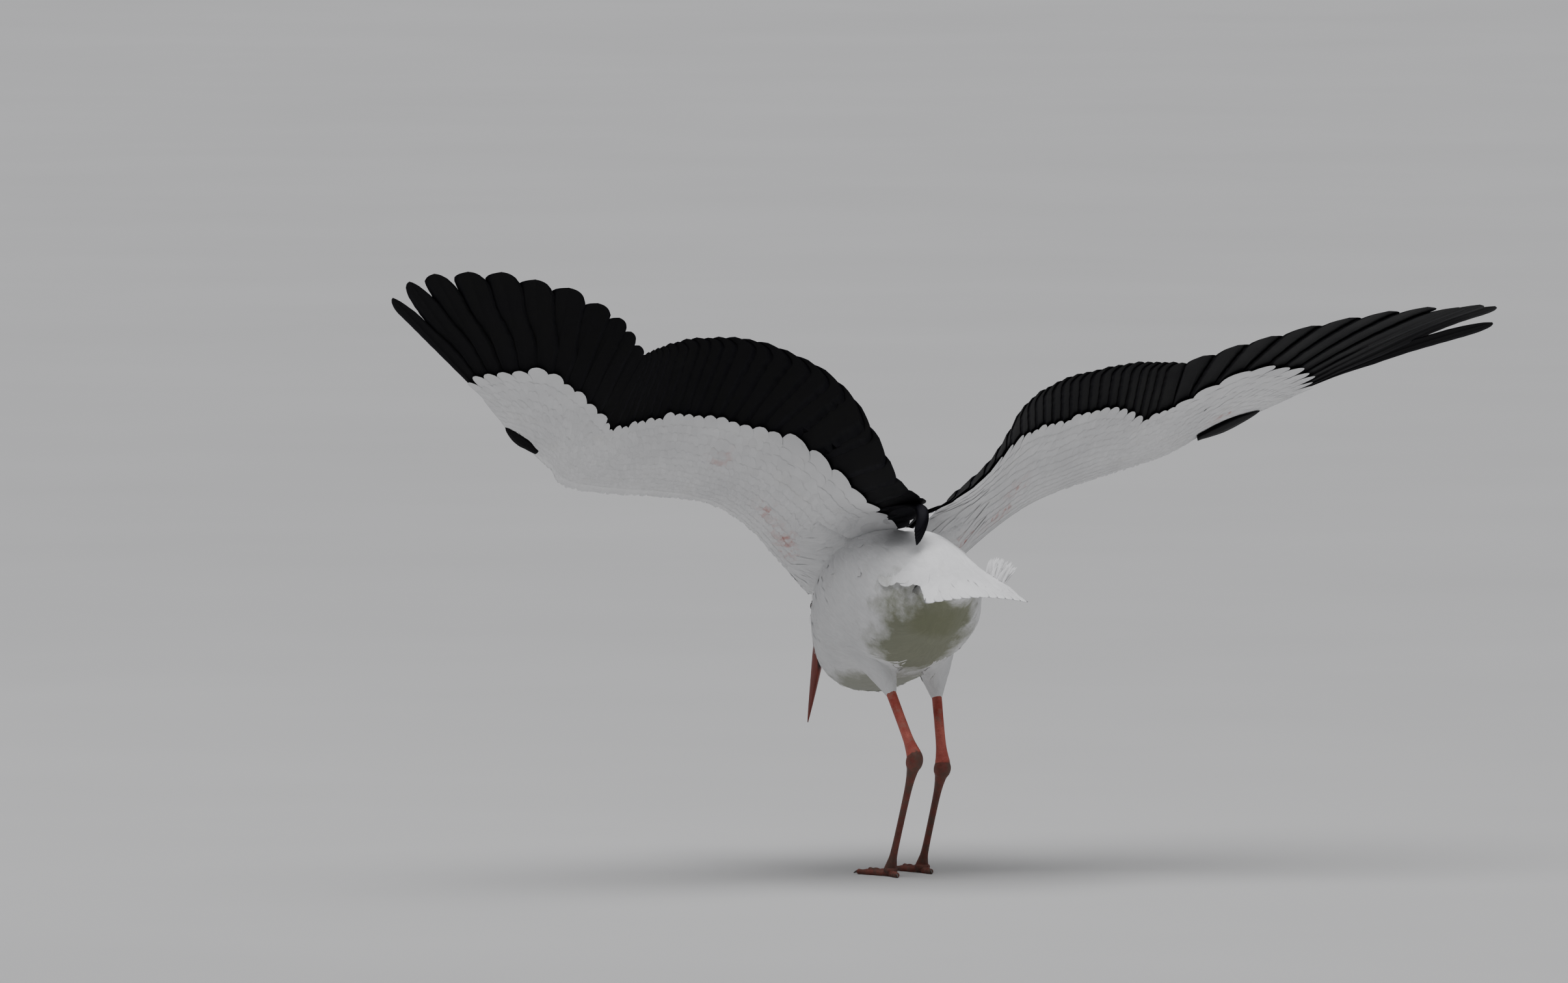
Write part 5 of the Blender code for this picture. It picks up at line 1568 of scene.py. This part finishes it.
def make_eyes():
    for side, name in ((1, "left"), (-1, "right")):
        centre = head_point(EYE_ALONG, EYE_RISE, side * EYE_SIDE)
        axis = unit(side * LEFT + 0.16 * FORWARD + 0.05 * CROWN)
        across = unit(FORWARD - (FORWARD @ axis) * axis)
        upward = unit(np.cross(axis, across)) * side

        def on_ball(radius, polar, phi):
            """Points round the eye's axis: polar is the angle from it, and phi the angle round it."""
            return (
                centre
                + axis * (radius * np.cos(polar))[..., None]
                + across * (radius * np.sin(polar) * np.cos(phi))[..., None]
                + upward * (radius * np.sin(polar) * np.sin(phi))[..., None]
            )

        phi = circle(64)
        theta = np.linspace(0.012, EYE_SPAN, 48)
        around = across * np.cos(phi)[:, None] + upward * np.sin(phi)[:, None]
        bulge = EYE_RADIUS + 0.00035 * np.exp(-((theta / 0.55) ** 2))
        out, aside = (bulge * wave(theta) for wave in (np.cos, np.sin))
        ball = tube((centre + axis * out[:, None, None] + around * aside[:, None, None])[:, ::side])
        ball["vane"] = joined(phi / (2 * math.pi), theta[:, None] / 3.2)[None]
        made = build(f"eyeball_{name}", [ball], "eye", [f"eye_{name}"])
        polar = np.repeat(theta / EYE_SPAN, len(phi)).astype(np.float32)
        made.data.attributes["tone"].data.foreach_set("value", polar)
        for lid, start, arch in (("upper", 0.0, 1.15), ("lower", math.pi, 0.85)):
            phi = np.linspace(start, start + math.pi, 40)
            opening = 0.94 - 0.24 * np.abs(np.sin(phi)) ** 1.3 * arch
            section = [on_ball(EYE_RADIUS + 0.0001 + proud, opening + reach, phi) for reach, proud in LID]
            build(f"eyelid_{lid}_{name}", [tube(np.stack(section, axis=1)[:, ::-side])], "face")


# ---------------------------------------------------------------- legs


def make_toe(ground, side, outwards, length):
    """A toe and its claw, lying on the floor."""
    heading = math.radians(outwards * side)
    direction = turn(math.sin(heading), math.cos(heading), 0)
    across = turn(math.cos(heading), -math.sin(heading), 0)
    angle = circle(22)[None]

    def rings(reach, aside, height):
        lying = ground + direction * reach[..., None] + across * aside[..., None]
        return (lying + UP * np.maximum(height, 0.0)[..., None])[:, ::-1]

    s = np.linspace(-0.02, 0.90, 44)[:, None]
    pad = 1 + 0.13 * np.cos(2 * math.pi * s * 3.3)
    radius = TOE_RADIUS * (1.12 - 0.42 * s) * pad * np.sqrt(np.clip((0.905 - s) / 0.05, 0, 1)).clip(0.12, 1)
    scute = 1 + 0.035 * np.sin(s * 150) * (np.sin(angle) > 0.3)
    toe = rings(length * s, radius * np.cos(angle), 0.0040 + radius * np.sin(angle) * scute * 0.95)
    s = np.linspace(0, 1, 18)[:, None]
    radius = TOE_RADIUS * 0.50 * (1 - s) ** 0.7 + 0.0002
    height = 0.0044 - 0.0032 * s**2 + radius * np.sin(angle)
    claw = rings(length * (0.855 + 0.145 * s), radius * 0.85 * np.cos(angle), height)
    return tube(toe), tube(claw)


def web(ground, side, first, second):
    """The small web at the root of two front toes."""
    t = np.linspace(0, 1, 14)[:, None]
    heading = np.radians((first + (second - first) * t) * side)
    reach = 0.024 - 0.012 * np.sin(math.pi * t)
    angle = circle(10)[None]
    along = reach * (0.55 + 0.45 * np.cos(angle))
    up = 0.0032 + 0.0011 * np.sin(angle)
    return ground + turn(np.sin(heading) * along, np.cos(heading) * along, up + 0 * along)


def make_legs():
    for side, name in ((1, "left"), (-1, "right")):
        knee, ankle, foot = leg_points(side)
        shank = tube(bone_rings(knee, ankle, SHANK, 36, 70))
        darkened = smoothstep(np.linspace(0, 1, 70), 0.62, 0.98)
        shank["stain_and_shade"] = np.broadcast_to(darkened[:, None], shank["rings"].shape[:3])
        build(f"shank_skin_{name}", [shank], "leg", [f"leg_{name}_shank"])
        tarsus = bone_rings(ankle, foot, TARSUS, 36, 120)
        centre = tarsus.mean(axis=1, keepdims=True)
        share = np.linspace(0, 1, 120)[:, None]
        angle = circle(36)[None]
        joint = np.exp(-(((share - 0.055) / 0.035) ** 2))
        knob = 0.10 * joint * (np.abs(np.sin(angle)) ** 6) - 0.07 * joint * np.abs(np.cos(2 * angle)) ** 4
        grooves = np.exp(-(((angle - 0.85) / 0.28) ** 2)) + np.exp(-(((angle - 5.43) / 0.28) ** 2))
        tendon = -0.10 * grooves * smoothstep(share, 0.15, 0.25)
        tarsus = centre + (tarsus - centre) * (1 + knob + tendon)[..., None]
        build(f"tarsus_skin_{name}", [tube(tarsus)], "mud", [f"leg_{name}_tarsus"])
        ground = foot * np.array([1.0, 1.0, 0.0])
        toes, claws = map(list, zip(*(make_toe(ground, side, *toe) for toe in TOES.values())))
        around, upward = np.meshgrid(circle(30), np.linspace(0.02, 0.98, 20), indexing="xy")
        plump = np.sin(math.pi * upward) ** 0.6
        pad = [0.0108 * plump * np.cos(around), 0.0118 * plump * np.sin(around), 0.0195 * upward]
        toes.append(tube(ground + np.stack(pad, axis=-1)))
        for first, second in (("inner", "middle"), ("middle", "outer")):
            toes.append(tube(web(ground, side, TOES[first][0], TOES[second][0])))
        build(f"toes_{name}", toes, "mud", [f"leg_{name}_foot"])
        build(f"claws_{name}", claws, "claw")


# ---------------------------------------------------------------- light, floor and camera


def place_light(name, kind, place, energy, **looks):
    lamp = bpy.data.lights.new(name, kind)
    lamp.energy = energy
    for key, value in looks.items():
        setattr(lamp, key, value)
    made = add_object(name, lamp)
    made.location = place
    made.rotation_euler = (Vector((0, 0, 0.5)) - Vector(place)).to_track_quat("-Z", "Y").to_euler()


def make_stage():
    mesh = bpy.data.meshes.new("floor")
    size = 70.0
    mesh.from_pydata([(-size, -size, 0), (size, -size, 0), (size, size, 0), (-size, size, 0)], [], [(0, 1, 2, 3)])
    mesh.materials.append(FINISHES["floor"])
    floor = add_object("floor", mesh)
    floor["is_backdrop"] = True
    world = bpy.data.worlds.new("studio")
    world.use_nodes = True
    background = world.node_tree.nodes["Background"].inputs
    background["Color"].default_value = (0.88, 0.92, 0.97, 1)
    background["Strength"].default_value = 0.12
    bpy.context.scene.world = world
    place_light("overhead", "AREA", (0.2, 0.9, 3.6), 14.0, shape="DISK", size=2.6)
    place_light("side", "AREA", (-3.4, 3.0, 2.2), 7.0, shape="DISK", size=2.4)
    place_light("front", "AREA", (2.2, -3.6, 2.6), 12.0, shape="DISK", size=2.6)
    place_light("sky", "SUN", (0.3, 1.0, 5.0), 2.85, angle=math.radians(60), color=(0.98, 0.975, 1.0))


def make_camera():
    turned, risen = math.radians(VIEW_TURN), math.radians(VIEW_RISE)
    level = np.array([math.sin(turned), math.cos(turned), 0.0])
    leftward = np.array([math.cos(turned), -math.sin(turned), 0.0])
    back = level * math.cos(risen) + UP * math.sin(risen)
    up = UP * math.cos(risen) - level * math.sin(risen)
    target = FEET + leftward * VIEW_MIDDLE[0] + up * VIEW_MIDDLE[1]
    camera = bpy.data.cameras.new("camera")
    camera.sensor_width = 36.0
    camera.lens = 36.0 * VIEW_DISTANCE / VIEW_WIDTH
    camera.clip_end = 300.0
    made = add_object("camera", camera)
    made.location = target + back * VIEW_DISTANCE
    made.rotation_euler = Vector(-back).to_track_quat("-Z", "Y").to_euler()
    bpy.context.scene.camera = made


# ---------------------------------------------------------------- the whole bird

# Slot names for the finishes that aren't white feathers
SLOTS = {
    "black": "black_feather",
    "face": "black_feather",
    "bill": "bill",
    "claw": "muddy_leg",
    "mud": "muddy_leg",
    "leg": "bare_leg",
    "eye": "eye",
}
FINISHES = {
    # The down's grey-green patches are painted shade and painted green reflected light, with some dirt
    "down": white_feather("white_down", 0.0011, darkened=True),
    "thigh": white_feather("white_thigh", 0.0011),
    "white": white_feather("white_vane", 0.0015),
    "black": black_feather("black_vane"),
    "bill": horn("bill_horn", (0.115, 0.017, 0.011), (0.240, 0.034, 0.018), (0.07, 0.016, 0.012)),
    "claw": horn("claw_horn", (0.020, 0.014, 0.012), (0.075, 0.050, 0.040), (0.10, 0.08, 0.06)),
    "leg": scaled_skin("leg_skin", (0.38, 0.060, 0.042), (0.62, 0.165, 0.125), (0.36, 0.22, 0.17), 0.16, 0.0017),
    "mud": scaled_skin("muddy_skin", (0.15, 0.034, 0.024), (0.25, 0.070, 0.048), (0.105, 0.066, 0.048), 0.52, 0.0019),
    "face": bare_skin(),
    "eye": eye_finish(),
    "skin": skin_finish(),
    "floor": floor_finish(),
}


def mark_skin(skin, marks):
    """Blackens the skin below the black coverts: each mark is (place, how dark)."""
    tree = KDTree(len(marks))
    for i, (place, _) in enumerate(marks):
        tree.insert(place, i)
    tree.balance()
    places = vertex_places(skin.data)
    values = np.zeros(len(places), np.float32)
    for i in np.nonzero(np.abs(places[:, 0] - FEET[0]) > 0.09)[0]:
        values[i] = marks[tree.find(places[i])[1]][1]
    skin.data.attributes.new("dark", "FLOAT", "POINT").data.foreach_set("value", values)


def main():
    wings = [Wing(1), Wing(-1)]
    skin = make_skin(wings)
    marks = []
    for wing in wings:
        name = wing.name
        plates = [f"wing_{name}_{part}" for part in ("tertials", "secondaries", "primaries")]
        build(f"flight_feathers_{name}", [remiges(wing)], "black", plates)
        build(f"alula_feathers_{name}", [alula(wing)], "black", [f"wing_{name}_alula"])
        under = under_coverts(wing)
        white, black = upper_coverts(wing)
        build(f"coverts_under_{name}", under, "white")
        build(f"coverts_upper_white_{name}", white, "white")
        build(f"coverts_upper_black_{name}", black, "black")
        for group, value in ((under, 0.0), (white, 0.0), (black, 1.0)):
            marks += [(place, value) for each in group for place in each["rings"][:, 2, 2]]
    mark_skin(skin, marks)
    build("tail_vanes", [rectrices()], "white", ["tail_feathers"])
    count = int(900 * SHARE) + 60
    build("tail_coverts", [tail_coverts(1, count), tail_coverts(-1, count)], "down")
    fields = Fields()
    mesh = skin.data
    tree = BVHTree.FromPolygons([v.co for v in mesh.vertices], [p.vertices[:] for p in mesh.polygons])
    make_body_coat(skin, fields, tree)
    make_axillars(wings[0], 12, 0.0012)
    make_axillars(wings[1], 28, 0.0024)
    make_tertial_hook(wings[0])
    make_tuft()
    make_bill()
    make_face()
    make_eyes()
    make_legs()
    make_stage()
    make_camera()


main()
boxes = {"cad": CAD_BOX, "visual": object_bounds()}
{name: [[float(c) for c in corner] for corner in box] for name, box in boxes.items()}
